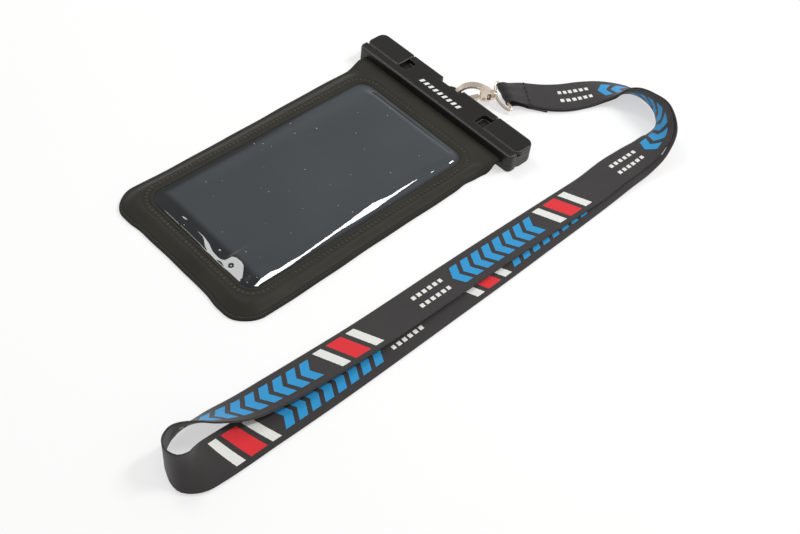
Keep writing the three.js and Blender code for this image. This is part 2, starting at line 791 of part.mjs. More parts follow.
// A layer of the doubled stretch, lifted and shifted sideways from its middle
function layer(station, lift, shift, flip) {
  const middle = station.middle.clone();
  middle.addScaledVector(station.normal, lift).addScaledVector(station.width, shift);
  const width = station.width.clone().multiplyScalar(flip[0]);
  const normal = station.normal.clone().multiplyScalar(flip[1]);
  return { ...station, middle, width, normal };
}

// The turn round the ring's bar, from the upper side to the lower one
function foldStations() {
  const centre = RING_BAR - RING_WIRE - GAP - STRAP_THICKNESS / 2 + FOLD_RADIUS;
  const angles = [60, 90, 120, 150, 180, 210, 240, 270, 300].map(THREE.MathUtils.degToRad);
  return angles.map((angle) => {
    const outward = along.clone().multiplyScalar(Math.cos(angle)).addScaledVector(foldUp, Math.sin(angle));
    const middle = barMiddle.clone().addScaledVector(along, centre - RING_BAR);
    middle.addScaledVector(outward, FOLD_RADIUS);
    return { middle, width: barSide, normal: outward.negate(), half: FOLD_WIDTH / 2 };
  });
}

function lanyardStrap() {
  const doubled = stations(DOUBLED);
  const half = STRAP_SPACING / 2;
  const outward = doubled.map((station, i) => layer(station, half, -DOUBLED[i][4], [1, 1]));
  const homeward = doubled.map((station, i) => layer(station, -half, DOUBLED[i][4], [-1, 1]));
  const tail = doubled.slice(0, 1).map((station) => layer(station, half + STRAP_SPACING, 0, [-1, -1]));
  const run = stations(UPPER_RUN);
  const homeRun = stations(LOWER_RUN);
  const all = [...outward, ...run, ...homeRun, ...homeward.reverse(), ...foldStations(), ...tail];
  return loft(
    all.map(({ middle, width, normal, half: reach }) => {
      const corner = (w, t) =>
        middle.clone().addScaledVector(width, w * reach).addScaledVector(normal, (t * STRAP_THICKNESS) / 2);
      return [corner(-1, -1), corner(1, -1), corner(1, 1), corner(-1, 1)];
    }),
  );
}

// Assembly

const pouch = new THREE.Group();
pouch.add(
  mesh('back_panel', backPanel(), materials.frame),
  mesh('front_panel', frontPanel(), materials.frame),
  mesh('window_film', windowFilm(), materials.film),
);

const clamp = new THREE.Group();
clamp.add(
  mesh('rear_jaw', rearJaw(), materials.clamp),
  mesh('front_jaw', frontJaw(), materials.clamp),
  mesh('seal_strip', sealStrip(), materials.seal),
);
for (const [side, name] of [
  [-1, 'left'],
  [1, 'right'],
]) {
  clamp.add(mesh(`${name}_lever`, lever(side), materials.clamp));
  clamp.add(mesh(`${name}_lever_pin`, leverPin(side), materials.steel));
}

const clasp = new THREE.Group();
clasp.position.copy(claspOrigin);
clasp.rotation.z = claspAngle;
clasp.add(
  mesh('clasp_hook', claspHook(), materials.nickel),
  mesh('clasp_gate', claspGate(), materials.nickel),
  mesh('gate_pin', gatePin(), materials.steel),
  mesh('gate_spring', gateSpring(), materials.steel),
);
const swivel = new THREE.Group();
swivel.position.z = SWIVEL_HEIGHT;
swivel.rotation.x = twist;
swivel.add(mesh('swivel_ring', swivelRing(), materials.nickel));
clasp.add(swivel);

const part = new THREE.Group();
part.add(pouch, clamp, clasp, mesh('lanyard_strap', lanyardStrap(), materials.strap));

export default part;
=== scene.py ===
"""Dresses the waterproof phone pouch: its welded sheets, window, clamp, clasp and printed lanyard."""

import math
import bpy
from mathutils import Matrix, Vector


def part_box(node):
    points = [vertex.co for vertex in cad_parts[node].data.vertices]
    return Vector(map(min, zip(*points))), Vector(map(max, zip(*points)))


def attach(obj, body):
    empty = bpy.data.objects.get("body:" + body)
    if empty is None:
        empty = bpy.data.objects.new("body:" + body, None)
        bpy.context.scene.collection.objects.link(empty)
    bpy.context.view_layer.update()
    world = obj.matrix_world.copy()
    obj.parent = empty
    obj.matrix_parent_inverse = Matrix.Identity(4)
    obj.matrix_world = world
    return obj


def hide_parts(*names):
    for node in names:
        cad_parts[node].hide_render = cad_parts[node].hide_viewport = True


bl_info = {
    "name": "Phone Pouch Looks",
    "version": (1, 0, 0),
    "blender": (4, 5, 0),
    "location": "View3D > Sidebar > Pouch",
    "description": "Sheets, window, clamp, clasp and lanyard of a waterproof phone pouch",
    "category": "Object",
}

import bmesh
import bpy
import numpy as np
from bpy.props import FloatProperty, FloatVectorProperty, PointerProperty
from mathutils import Matrix, Vector

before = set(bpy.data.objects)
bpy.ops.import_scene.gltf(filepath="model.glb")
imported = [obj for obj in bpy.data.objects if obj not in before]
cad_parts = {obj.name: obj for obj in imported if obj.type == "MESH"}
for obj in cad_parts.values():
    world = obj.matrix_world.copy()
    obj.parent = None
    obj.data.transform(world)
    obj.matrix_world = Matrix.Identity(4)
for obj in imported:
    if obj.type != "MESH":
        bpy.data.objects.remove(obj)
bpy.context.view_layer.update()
MM = 0.001

# The pouch's plan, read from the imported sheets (mm)
PANEL_LOW, PANEL_HIGH = (np.array(corner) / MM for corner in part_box("front_panel"))
CLAMP_LOW, CLAMP_HIGH = (np.array(corner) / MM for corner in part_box("front_jaw"))
HALF_WIDTH = PANEL_HIGH[0]
FOOT = PANEL_LOW[1]
SHEET_END = PANEL_HIGH[1]
CLAMP_FACE = CLAMP_LOW[1]
POUCH_CORNER = 14.0
GRIP_CORNER = 1.0
SHEET_THICK = 0.6
NECK = 13.4
WINDOW_HALF = HALF_WIDTH - 13.0
WINDOW_LOW = FOOT + 14.2
WINDOW_HIGH = CLAMP_FACE - NECK
WINDOW_CORNER = 8.0

# The front sheet: its welded rim, how far and over what width it rises, its height in the clamp (mm)
RIM_WELD = 2.3
RIM_TOP = 1.5
BORDER_RISE = 3.7
RISE_WIDTH = 9.3
GRIP_TOP = 6.2

# The clasp's line, the ring's plane and wire, and its bar, which the lanyard turns round (mm)
ALONG = np.array([0.6691306, 0.7431448, 0.0])
ACROSS = np.array([-0.7431448, 0.6691306, 0.0])
RING_TWIST = math.radians(22)
RING_SIDE = ACROSS * math.cos(RING_TWIST) + np.array([0, 0, math.sin(RING_TWIST)])
RING_ABOVE = np.cross(ALONG, RING_SIDE)
RING_WIRE = 0.87
BAR_MIDDLE = np.array([21.286, 33.061, 6.2])
BAR_ALONG = 28.6

# The lanyard's fold round the bar: how far back its middle lies, its radius, half width, shift
# and depth of pleats (mm), and how much of its reach it is skewed by
FOLD_BACK = 1.8
FOLD_RADIUS = 3.2
FOLD_HALF_WIDTH = 5.8
FOLD_SHIFT = 1.0
FOLD_PLEAT = 0.22
FOLD_SKEW = 0.47
# How far the lanyard's layers lie apart, and how finely its strip is made (mm)
STRAP_SPACING = 1.3
STRIP_STEP = 1.8

# Where both layers lie together: middle x, y, z, turn about its own line, shift between the layers
DOUBLED = (
    (26.3, 43.6, 4.4, -97, 0),
    (33.5, 51.6, 3.4, -97, 0),
    (39.3, 60.5, 2.7, -96, 0),
    (43.8, 71.0, 2.3, -93, 0),
    (49.5, 81.8, 3.0, -82, 0),
    (58.6, 90.2, 5.2, -66, 0),
    (70.2, 92.0, 8.6, -42, 0),
    (82.6, 88.0, 10.8, -19, 0.1),
    (91.7, 82.0, 11.3, 12, 0.4),
    (97.4, 74.5, 8.9, 45, 0.9),
    (99.3, 64.0, 5.2, 70, 1.4),
    (99.2, 51.0, 3.0, 84, 1.8),
    (98.9, 36.1, 2.4, 88, 2),
)
# The upper layer alone, out to the far turn and round it
UPPER_RUN = (
    (97.3, 18.0, 2.1, 88),
    (96.8, -5.0, 2.0, 88),
    (96.0, -35.0, 2.0, 88),
    (95.2, -65.0, 2.0, 87),
    (94.8, -95.0, 2.1, 87),
    (94.6, -122.0, 2.3, 86),
    (94.2, -148.0, 2.6, 85),
    (93.0, -174.0, 3.0, 83),
    (91.6, -197.0, 3.6, 79),
    (90.0, -216.0, 5.2, 69),
    (87.0, -230.2, 8.0, 50),
    (84.4, -239.8, 9.6, 31),
    (84.0, -246.9, 10.2, 17),
    (85.4, -251.8, 10.6, 7),
    (88.8, -256.0, 10.7, 0),
    (94.0, -258.3, 10.7, 0),
    (98.6, -258.0, 10.5, 8),
    (102.2, -255.2, 9.8, 24),
    (104.0, -249.7, 8.2, 41),
    (103.6, -241.0, 6.2, 56),
    (103.0, -230.0, 4.2, 68),
    (102.7, -216.0, 2.4, 80),
    (102.9, -200.0, 1.0, 88),
)
# The lower layer alone, back from the far turn
LOWER_RUN = (
    (103.2, -178.0, 0.6, 90),
    (103.2, -145.0, 0.6, 90),
    (102.9, -105.0, 0.6, 90),
    (102.6, -65.0, 0.6, 90),
    (102.0, -30.0, 0.6, 90),
    (101.6, -5.0, 0.6, 90),
    (101.2, 16.0, 0.9, 90),
)


# Colours and nodes


def linear(colour):
    """A colour written as on a screen, such as #2C2B2A, as Blender's linear red, green, blue, alpha."""
    shares = [int(colour[i : i + 2], 16) / 255 for i in (1, 3, 5)]
    return [s / 12.92 if s <= 0.04045 else ((s + 0.055) / 1.055) ** 2.4 for s in shares] + [1.0]


def scaled(colour, share):
    """A colour made darker or lighter, at most 1."""
    return [min(c * share, 1.0) for c in colour[:3]] + [1.0]


def feed(tree, entry, value):
    """Links a socket to an input, or sets the input to a number or colour."""
    if isinstance(value, bpy.types.NodeSocket):
        tree.links.new(value, entry)
    else:
        entry.default_value = value


def add_node(tree, kind, settings=None, links=None):
    """A node with its settings, and with sockets of other nodes linked to its inputs."""
    node = tree.nodes.new(kind)
    for key, value in (settings or {}).items():
        if isinstance(key, str) and hasattr(node, key):
            setattr(node, key, value)
        else:
            node.inputs[key].default_value = value
    for key, socket in (links or {}).items():
        tree.links.new(socket, node.inputs[key])
    return node


def calc(tree, operation, *values):
    """The result of one Math node on numbers or sockets."""
    node = add_node(tree, "ShaderNodeMath", {"operation": operation})
    for entry, value in zip(node.inputs, values):
        feed(tree, entry, value)
    return node.outputs[0]


def between(tree, value, low, high):
    """1 where the value lies between low and high, else 0."""
    above = calc(tree, "GREATER_THAN", value, low)
    return calc(tree, "MULTIPLY", above, calc(tree, "LESS_THAN", value, high))


def mixed(tree, share, first, second):
    """Two colours mixed by a share; either may be a socket."""
    node = add_node(tree, "ShaderNodeMix", {"data_type": "RGBA"})
    for place, value in ((0, share), (6, first), (7, second)):
        feed(tree, node.inputs[place], value)
    return node.outputs[2]


def noise(tree, place, period, detail=2.0, roughness=0.5):
    """Noise whose patches are about period metres across."""
    settings = {"Scale": 1 / period, "Detail": detail, "Roughness": roughness}
    return add_node(tree, "ShaderNodeTexNoise", settings, {"Vector": place}).outputs[0]


def bumped(tree, height, distance, normal=None):
    """The normal that a height from 0 to 1 gives, at that depth in metres."""
    links = {"Height": height}
    if normal is not None:
        links["Normal"] = normal
    return add_node(tree, "ShaderNodeBump", {"Strength": 1.0, "Distance": distance}, links).outputs[0]


def new_finish(name, **sockets):
    """A material with its node tree, its shader and the Object coordinates."""
    material = bpy.data.materials.new(name)
    material.use_nodes = True
    tree = material.node_tree
    tree.nodes.clear()
    shader = add_node(tree, "ShaderNodeBsdfPrincipled", sockets)
    add_node(tree, "ShaderNodeOutputMaterial", None, {"Surface": shader.outputs[0]})
    place = add_node(tree, "ShaderNodeTexCoord").outputs["Object"]
    return material, tree, shader, place


def join_up(tree, shader, **links):
    """Links sockets to the shader's inputs, whose names have their blanks as underscores."""
    for name, socket in links.items():
        tree.links.new(socket, shader.inputs[name.replace("_", " ")])


# Finishes


def pvc_finish(colours):
    """Calendered PVC: warm dark grey, cloudy, with a fine leathery grain and a pebbled weld along the rim."""
    material, tree, shader, place = new_finish("calendered_pvc", **{"Specular IOR Level": 0.09})
    cloud = noise(tree, place, 0.03, 3)
    # The real grain is about 0.3 mm, and is drawn 0.7 mm coarse so that it shows
    settings = {"feature": "SMOOTH_F1", "Scale": 1 / 0.0007}
    grain = add_node(tree, "ShaderNodeTexVoronoi", settings, {"Vector": place}).outputs[0]
    rim = add_node(tree, "ShaderNodeAttribute", {"attribute_name": "rim_mm"}).outputs["Fac"]
    weld = calc(tree, "LESS_THAN", rim, RIM_WELD)
    pebble = noise(tree, place, 0.0011, 1)
    dark = list(colours.pvc)
    warm = [c * share for c, share in zip(dark, (1.7, 1.66, 1.52))] + [1]
    base = mixed(tree, cloud, dark, warm)
    base = mixed(tree, calc(tree, "MULTIPLY", weld, 0.35), base, scaled(dark, 0.55))
    rough = calc(tree, "MULTIPLY_ADD", cloud, 0.16, 0.4)
    rough = calc(tree, "MULTIPLY_ADD", weld, 0.12, rough)
    height = calc(tree, "MULTIPLY", grain, 0.35)
    height = calc(tree, "MULTIPLY_ADD", calc(tree, "MULTIPLY", weld, pebble), 2.2, height)
    waved = bumped(tree, noise(tree, place, 0.009, 1), 0.0005)
    normal = bumped(tree, height, 0.00009, waved)
    join_up(tree, shader, Base_Color=base, Roughness=rough, Normal=normal)
    return material


def rib_finish(colours):
    """Weld ribs: the same PVC pressed smooth and glossier, painted paler as a sheen on the raised ribs."""
    material, tree, shader, place = new_finish("pressed_weld_rib", **{"Specular IOR Level": 0.25})
    cloud = noise(tree, place, 0.004, 2)
    dark = list(colours.pvc)
    # Painted sheen: the ribs are painted from 0.8 up to 2.4 times the PVC's colour
    base = mixed(tree, cloud, scaled(dark, 0.8), scaled(dark, 2.4))
    rough = calc(tree, "MULTIPLY_ADD", cloud, 0.2, 0.3)
    join_up(tree, shader, Base_Color=base, Roughness=rough, Normal=bumped(tree, cloud, 0.00005))
    return material


def film_finish(colours):
    """Clear film over the dark inside: glossy blue grey, dusty, with painted shade by the welds, faintly
    rippled.
    """
    gloss = {"IOR": 1.5, "Specular IOR Level": 0.5, "Coat Weight": 0.35, "Coat Roughness": 0.03}
    material, tree, shader, place = new_finish("clear_window_film", **gloss)
    shade = add_node(tree, "ShaderNodeAttribute", {"attribute_name": "shade"}).outputs["Fac"]
    cloud = noise(tree, place, 0.05, 2)
    film = list(colours.film)
    base = mixed(tree, cloud, scaled(film, 0.8), scaled(film, 1.2))
    # Painted shade: the film is darkened towards a fifth of its colour where the shade attribute says
    base = mixed(tree, shade, base, scaled(film, 0.2))
    # Dust lies about 4 mm apart, and its specks are drawn up to 0.6 mm across so that they show
    dust = add_node(tree, "ShaderNodeTexVoronoi", {"Scale": 1 / 0.0042, "Randomness": 1.0}, {"Vector": place})
    chosen = add_node(tree, "ShaderNodeSeparateColor", None, {"Color": dust.outputs["Color"]}).outputs[0]
    speck = calc(tree, "LESS_THAN", dust.outputs["Distance"], calc(tree, "MULTIPLY", chosen, 0.072))
    base = mixed(tree, speck, base, linear("#B9BDBE"))
    smear = noise(tree, place, 0.02, 4, 0.6)
    rough = calc(tree, "MULTIPLY_ADD", smear, 0.07, 0.02)
    rough = calc(tree, "MULTIPLY_ADD", speck, 0.5, rough)
    ripple = noise(tree, place, 0.016, 1)
    join_up(tree, shader, Base_Color=base, Roughness=rough, Normal=bumped(tree, ripple, 0.00012))
    return material


def plastic_finish(name, colour, grain_depth, sheen):
    """Moulded ABS: near black, finely spark eroded, its edges a little smoother, with a painted highlight
    that makes them paler.
    """
    material, tree, shader, place = new_finish(name, **{"Specular IOR Level": sheen})
    cloud = noise(tree, place, 0.02, 3)
    # Real spark erosion is under 0.1 mm, and is drawn 0.35 mm coarse so that it shows
    spark = noise(tree, place, 0.00035, 2, 0.7)
    soft = add_node(tree, "ShaderNodeBevel", {"samples": 6, "Radius": 0.0005}).outputs[0]
    true = add_node(tree, "ShaderNodeNewGeometry").outputs["Normal"]
    product = add_node(tree, "ShaderNodeVectorMath", {"operation": "DOT_PRODUCT"}, {0: soft, 1: true})
    # Painted highlight: where the bevelled normal turns from the true one, the edges are painted paler, up to
    # 4.5 times the colour
    edge = calc(tree, "MULTIPLY", calc(tree, "SUBTRACT", 1.0, product.outputs["Value"]), 9.0)
    edge = calc(tree, "MINIMUM", calc(tree, "MULTIPLY", edge, cloud), 1.0)
    base = mixed(tree, cloud, scaled(colour, 0.8), scaled(colour, 1.25))
    base = mixed(tree, edge, base, scaled(colour, 4.5))
    # Bevels that face up at a slant get the palest painted highlight, where the light falls on them
    tilt = add_node(tree, "ShaderNodeSeparateXYZ", None, {0: true}).outputs[2]
    wear_and_highlight = calc(tree, "MULTIPLY", between(tree, tilt, 0.5, 0.9), 0.9)
    base = mixed(tree, wear_and_highlight, base, scaled(colour, 8))
    rough = calc(tree, "MULTIPLY_ADD", spark, 0.2, 0.25)
    rough = calc(tree, "SUBTRACT", rough, calc(tree, "MULTIPLY", edge, 0.1))
    join_up(tree, shader, Base_Color=base, Roughness=rough, Normal=bumped(tree, spark, grain_depth, soft))
    return material


def metal_finish(name, colour, rough, scratch):
    """Plated metal: warm, satin, with fine rubbing marks and duller clouds where it is handled."""
    material, tree, shader, place = new_finish(name, **{"Metallic": 0.85})
    cloud = noise(tree, place, 0.006, 2)
    stretched = add_node(tree, "ShaderNodeMapping", {"Scale": (1, 1, 12)}, {"Vector": place}).outputs[0]
    wear_and_highlight = noise(tree, stretched, 0.0025, 4, 0.7)
    base = mixed(tree, cloud, list(colour), scaled(colour, 0.93))
    roughness = calc(tree, "MULTIPLY_ADD", wear_and_highlight, 0.12, rough)
    soft = add_node(tree, "ShaderNodeBevel", {"samples": 6, "Radius": 0.00025}).outputs[0]
    normal = bumped(tree, wear_and_highlight, scratch, soft)
    join_up(tree, shader, Base_Color=base, Roughness=roughness, Normal=normal)
    return material


def rubber_finish():
    """Seal: soft dark rubber, matt, with moulding dust in its pores."""
    material, tree, shader, place = new_finish("seal_rubber", **{"Specular IOR Level": 0.25})
    pores = noise(tree, place, 0.0005, 3)
    base = mixed(tree, pores, linear("#262625"), linear("#3B3A38"))
    rough = calc(tree, "MULTIPLY_ADD", pores, 0.2, 0.65)
    join_up(tree, shader, Base_Color=base, Roughness=rough, Normal=bumped(tree, pores, 0.00005))
    return material


def thread_finish():
    """Sewing thread: dark twisted polyester, its strands catching a thin light."""
    material, tree, shader, place = new_finish("sewing_thread", **{"Sheen Weight": 0.1, "Roughness": 0.7})
    strands = noise(tree, place, 0.0003, 1)
    base = mixed(tree, strands, linear("#0C0B0B"), linear("#242322"))
    join_up(tree, shader, Base_Color=base, Normal=bumped(tree, strands, 0.00005))
    return material


def ink_finish(colours):
    """Pad print on the clamp: thin off-white ink, a little broken by the plastic's grain."""
    material, tree, shader, place = new_finish("pad_print_ink", **{"Roughness": 0.5})
    worn = noise(tree, place, 0.0004, 3)
    white = list(colours.print_white)
    base = mixed(tree, worn, white, scaled(white, 0.8))
    join_up(tree, shader, Base_Color=base, Normal=bumped(tree, worn, 0.00002))
    return material


# The print along its repeat, and across from the middle of a strip 20 mm wide (mm)
PRINT_HALF = 10.0
PRINT_BACK = 40.0
WHITE_BARS = ((3, 8), (23, 28))
RED_BAR = (11, 20)
BAR_REACH = 7.4
BAR_SLANT = 0.42
CHEVRONS = (36, 98)
CHEVRON_PITCH, CHEVRON_WIDTH = 7.6, 4.9
CHEVRON_REACH = 6.1
CHEVRON_SLANT = 0.55
DASHES = (101, 122)
DASH_PITCH, DASH_LENGTH = 3.6, 2.3
DASH_ROW, DASH_HALF = 3.1, 1.15
BARE_END = 14
SELVEDGE = 9.1
# How far apart the weave's threads lie, across the strip and along it (mm)
WARP_PITCH, WEFT_PITCH = 0.62, 0.5


def webbing_finish(colours, sizes, sewn):
    """Dye-printed webbing: fine plain weave, banded selvedge, and a repeat of bars, chevrons and dashes."""
    cloth_look = {"Specular IOR Level": 0.3, "Sheen Weight": 0.25, "Sheen Roughness": 0.5}
    material, tree, shader, place = new_finish("printed_webbing", **cloth_look)
    uv = add_node(tree, "ShaderNodeUVMap", {"uv_map": "strip_mm"}).outputs[0]
    parts = add_node(tree, "ShaderNodeSeparateXYZ", None, {0: uv})
    u, v = parts.outputs[0], parts.outputs[1]
    back = calc(tree, "GREATER_THAN", u, PRINT_BACK - PRINT_HALF)
    across = calc(tree, "SUBTRACT", calc(tree, "MULTIPLY_ADD", back, -PRINT_BACK, u), PRINT_HALF)
    width = calc(tree, "ABSOLUTE", across)
    start = sizes.print_start / MM
    behind = start + DASHES[0] + sizes.back_dashes / MM - sewn
    along = calc(tree, "MULTIPLY_ADD", back, behind, v)
    along = calc(tree, "SUBTRACT", along, start)
    along = calc(tree, "WRAP", along, sizes.print_repeat / MM, 0.0)
    wander = calc(tree, "MULTIPLY", calc(tree, "SUBTRACT", noise(tree, place, 0.0006, 1), 0.5), 0.35)
    along = calc(tree, "ADD", along, wander)
    slanted = calc(tree, "MULTIPLY_ADD", across, BAR_SLANT, along)
    arrow = calc(tree, "MULTIPLY_ADD", width, CHEVRON_SLANT, along)
    tall = calc(tree, "LESS_THAN", width, BAR_REACH)
    white = calc(tree, "ADD", *(between(tree, slanted, *bar) for bar in WHITE_BARS))
    white = calc(tree, "MULTIPLY", white, tall)
    red = calc(tree, "MULTIPLY", between(tree, slanted, *RED_BAR), tall)
    stripe = calc(tree, "LESS_THAN", calc(tree, "WRAP", arrow, CHEVRON_PITCH, 0.0), CHEVRON_WIDTH)
    blue = calc(tree, "MULTIPLY", stripe, between(tree, arrow, *CHEVRONS))
    blue = calc(tree, "MULTIPLY", blue, calc(tree, "LESS_THAN", width, CHEVRON_REACH))
    line = calc(tree, "LESS_THAN", calc(tree, "ABSOLUTE", calc(tree, "SUBTRACT", width, DASH_ROW)), DASH_HALF)
    dash = calc(tree, "LESS_THAN", calc(tree, "WRAP", along, DASH_PITCH, 0.0), DASH_LENGTH)
    dash = calc(tree, "MULTIPLY", calc(tree, "MULTIPLY", dash, line), between(tree, along, *DASHES))
    white = calc(tree, "MINIMUM", calc(tree, "ADD", white, dash), 1.0)
    printed = calc(tree, "LESS_THAN", v, sewn - BARE_END)
    white, red, blue = (calc(tree, "MULTIPLY", ink, printed) for ink in (white, red, blue))
    warp = calc(tree, "SINE", calc(tree, "MULTIPLY", u, math.tau / WARP_PITCH))
    weft = calc(tree, "SINE", calc(tree, "MULTIPLY", v, math.tau / WEFT_PITCH))
    weave = calc(tree, "MULTIPLY_ADD", calc(tree, "MULTIPLY", warp, weft), 0.5, 0.5)
    selvedge = calc(tree, "GREATER_THAN", width, SELVEDGE)
    cord_row = calc(tree, "MULTIPLY_ADD", weft, 0.5, 0.5)
    surface = {0: selvedge, 2: weave, 3: cord_row}
    height = add_node(tree, "ShaderNodeMix", {"data_type": "FLOAT"}, surface).outputs[0]
    cloth = list(colours.webbing)
    cloud = noise(tree, place, 0.025, 3)
    base = mixed(tree, cloud, scaled(cloth, 0.82), scaled(cloth, 1.25))
    base = mixed(tree, blue, base, list(colours.print_blue))
    base = mixed(tree, red, base, list(colours.print_red))
    base = mixed(tree, white, base, list(colours.print_white))
    # Painted shade in the weave: the gaps between its threads are darkened towards black
    gap = calc(tree, "MULTIPLY", calc(tree, "SUBTRACT", 1.0, height), 0.22)
    base = mixed(tree, gap, base, [0.004, 0.004, 0.004, 1])
    normal = bumped(tree, height, 0.00006)
    rough = calc(tree, "MULTIPLY_ADD", cloud, 0.15, 0.62)
    join_up(tree, shader, Base_Color=base, Roughness=rough, Normal=normal)
    return material


# Meshes


def smooth(t):
    """0 below 0, 1 above 1, and an S curve between."""
    t = np.clip(t, 0, 1)
    return t * t * (3 - 2 * t)


def unit(vectors):
    """Vectors made one long."""
    return vectors / np.linalg.norm(vectors, axis=-1, keepdims=True)


def quads(rows, columns, closed_rows=False, closed_columns=False):
    """Faces over a grid of vertices counted along its columns first."""
    down = rows if closed_rows else rows - 1
    over = columns if closed_columns else columns - 1
    faces = []
    for i in range(down):
        for j in range(over):
            here, right = i * columns + j, i * columns + (j + 1) % columns
            below, corner = ((i + 1) % rows) * columns + j, ((i + 1) % rows) * columns + (j + 1) % columns
            faces.append((here, right, corner, below))
    return faces


def tube_faces(rows, columns):
    """Faces round rings of points, one after another, with both ends closed."""
    last = (rows - 1) * columns
    ends = [tuple(reversed(range(columns))), tuple(range(last, last + columns))]
    return quads(rows, columns, closed_columns=True) + ends


def linked(name, data):
    """An object at the origin with that data, linked to the scene."""
    piece = bpy.data.objects.new(name, data)
    bpy.context.scene.collection.objects.link(piece)
    return piece


def new_piece(name, points, faces, material, flat=False):
    """A mesh object at the origin from points in mm."""
    mesh = bpy.data.meshes.new(name)
    mesh.from_pydata([tuple(p) for p in np.asarray(points) * MM], [], faces)
    mesh.validate()
    mesh.materials.append(material)
    mesh.polygons.foreach_set("use_smooth", [not flat] * len(mesh.polygons))
    return linked(name, mesh)


def face_out(piece):
    """Turns a closed mesh's faces outwards."""
    work = bmesh.new()
    work.from_mesh(piece.data)
    bmesh.ops.recalc_face_normals(work, faces=work.faces)
    work.to_mesh(piece.data)
    work.free()


def keep_numbers(piece, name, values):
    """One number per vertex, which a finish reads by its name."""
    attribute = piece.data.attributes.new(name, "FLOAT", "POINT")
    attribute.data.foreach_set("value", np.asarray(values, np.float32).ravel())


def plain_mesh(piece):
    """Turns what a piece's modifiers make into its own mesh and removes them."""
    bpy.context.view_layer.update()
    graph = bpy.context.evaluated_depsgraph_get()
    mesh = bpy.data.meshes.new_from_object(piece.evaluated_get(graph), depsgraph=graph)
    piece.modifiers.clear()
    old = piece.data
    piece.data = mesh
    bpy.data.meshes.remove(old)
    return piece


# Repeats along a path, in Geometry Nodes


def bead_tree():
    """A tree that sets rounded beads along a path, each turned to the path and to its surface."""
    tree = bpy.data.node_groups.new("beads_along_path", "GeometryNodeTree")
    face = tree.interface
    face.new_socket("Path", in_out="INPUT", socket_type="NodeSocketGeometry")
    for name in ("Spacing", "Length", "Width", "Height"):
        face.new_socket(name, in_out="INPUT", socket_type="NodeSocketFloat")
    face.new_socket("Finish", in_out="INPUT", socket_type="NodeSocketMaterial")
    face.new_socket("Beads", in_out="OUTPUT", socket_type="NodeSocketGeometry")
    given = add_node(tree, "NodeGroupInput").outputs
    curve = add_node(tree, "GeometryNodeMeshToCurve", None, {0: given["Path"]}).outputs[0]
    along = {"Curve": curve, "Length": given["Spacing"]}
    spaced = add_node(tree, "GeometryNodeResampleCurve", {"mode": "LENGTH"}, along).outputs[0]
    tangent = add_node(tree, "GeometryNodeInputTangent").outputs[0]
    named = {"data_type": "FLOAT_VECTOR", "Name": "up"}
    up = add_node(tree, "GeometryNodeInputNamedAttribute", named).outputs["Attribute"]
    first = add_node(tree, "FunctionNodeAlignRotationToVector", {"axis": "X"}, {"Vector": tangent}).outputs[0]
    about_path = {"axis": "Z", "pivot_axis": "X"}
    facing = {"Rotation": first, "Vector": up}
    facing = add_node(tree, "FunctionNodeAlignRotationToVector", about_path, facing).outputs[0]
    bead = add_node(tree, "GeometryNodeMeshUVSphere", {"Segments": 8, "Rings": 6, "Radius": 0.5}).outputs[0]
    size = {0: given["Length"], 1: given["Width"], 2: given["Height"]}
    size = add_node(tree, "ShaderNodeCombineXYZ", None, size).outputs[0]
    varied = {"data_type": "FLOAT_VECTOR", 0: (0.85, 0.85, 0.7), 1: (1.12, 1.1, 1.15), "Seed": 7}
    spread = add_node(tree, "FunctionNodeRandomValue", varied).outputs[0]
    scale = add_node(tree, "ShaderNodeVectorMath", {"operation": "MULTIPLY"}, {0: size, 1: spread}).outputs[0]
    set_out = {"Points": spaced, "Instance": bead, "Rotation": facing, "Scale": scale}
    placed = add_node(tree, "GeometryNodeInstanceOnPoints", None, set_out).outputs[0]
    real = add_node(tree, "GeometryNodeRealizeInstances", None, {0: placed}).outputs[0]
    soft = add_node(tree, "GeometryNodeSetShadeSmooth", None, {0: real}).outputs[0]
    dressed = {"Geometry": soft, "Material": given["Finish"]}
    done = add_node(tree, "GeometryNodeSetMaterial", None, dressed).outputs[0]
    add_node(tree, "NodeGroupOutput", None, {0: done})
    return tree


def beads(name, line, ups, closed, shape, material):
    """Beads along one line, with its up direction at each place and whether it closes (mm)."""
    tree = bpy.data.node_groups.get("beads_along_path") or bead_tree()
    edges = [(i, i + 1) for i in range(len(line) - 1)]
    if closed:
        edges.append((len(line) - 1, 0))
    mesh = bpy.data.meshes.new(name)
    mesh.from_pydata([tuple(p) for p in np.asarray(line) * MM], edges, [])
    attribute = mesh.attributes.new("up", "FLOAT_VECTOR", "POINT")
    attribute.data.foreach_set("vector", np.asarray(ups, np.float32).ravel())
    piece = linked(name, mesh)
    modifier = piece.modifiers.new("beads", "NODES")
    modifier.node_group = tree
    given = {key: value * MM for key, value in shape.items()}
    given["Finish"] = material
    for socket in tree.interface.items_tree:
        if socket.in_out == "INPUT" and socket.name in given:
            modifier[socket.identifier] = given[socket.name]
    return plain_mesh(piece)


def upright(line):
    """Straight up at each place of a line."""
    return np.repeat([[0.0, 0.0, 1.0]], len(line), axis=0)


# The pouch's sheets

# Steps round each corner of a ring, and along its foot, right side, head and left side
CORNER_STEPS = 12
SIDE_STEPS = (44, 76, 44, 76)
# How far outside the window the front sheet's rings lie (mm), and the others' shares of the way to the rim
WINDOW_RINGS = (0, 0.35, 0.8, 1.3, 1.7, 1.95, 2.15, 2.35, 2.6, 3.2, 4.0, 4.6, 4.88, 5.1, 5.32, 5.6)
BORDER_RINGS = (0.12, 0.25, 0.38, 0.5, 0.62, 0.72, 0.81, 0.88, 0.94, 0.975, 1.0)


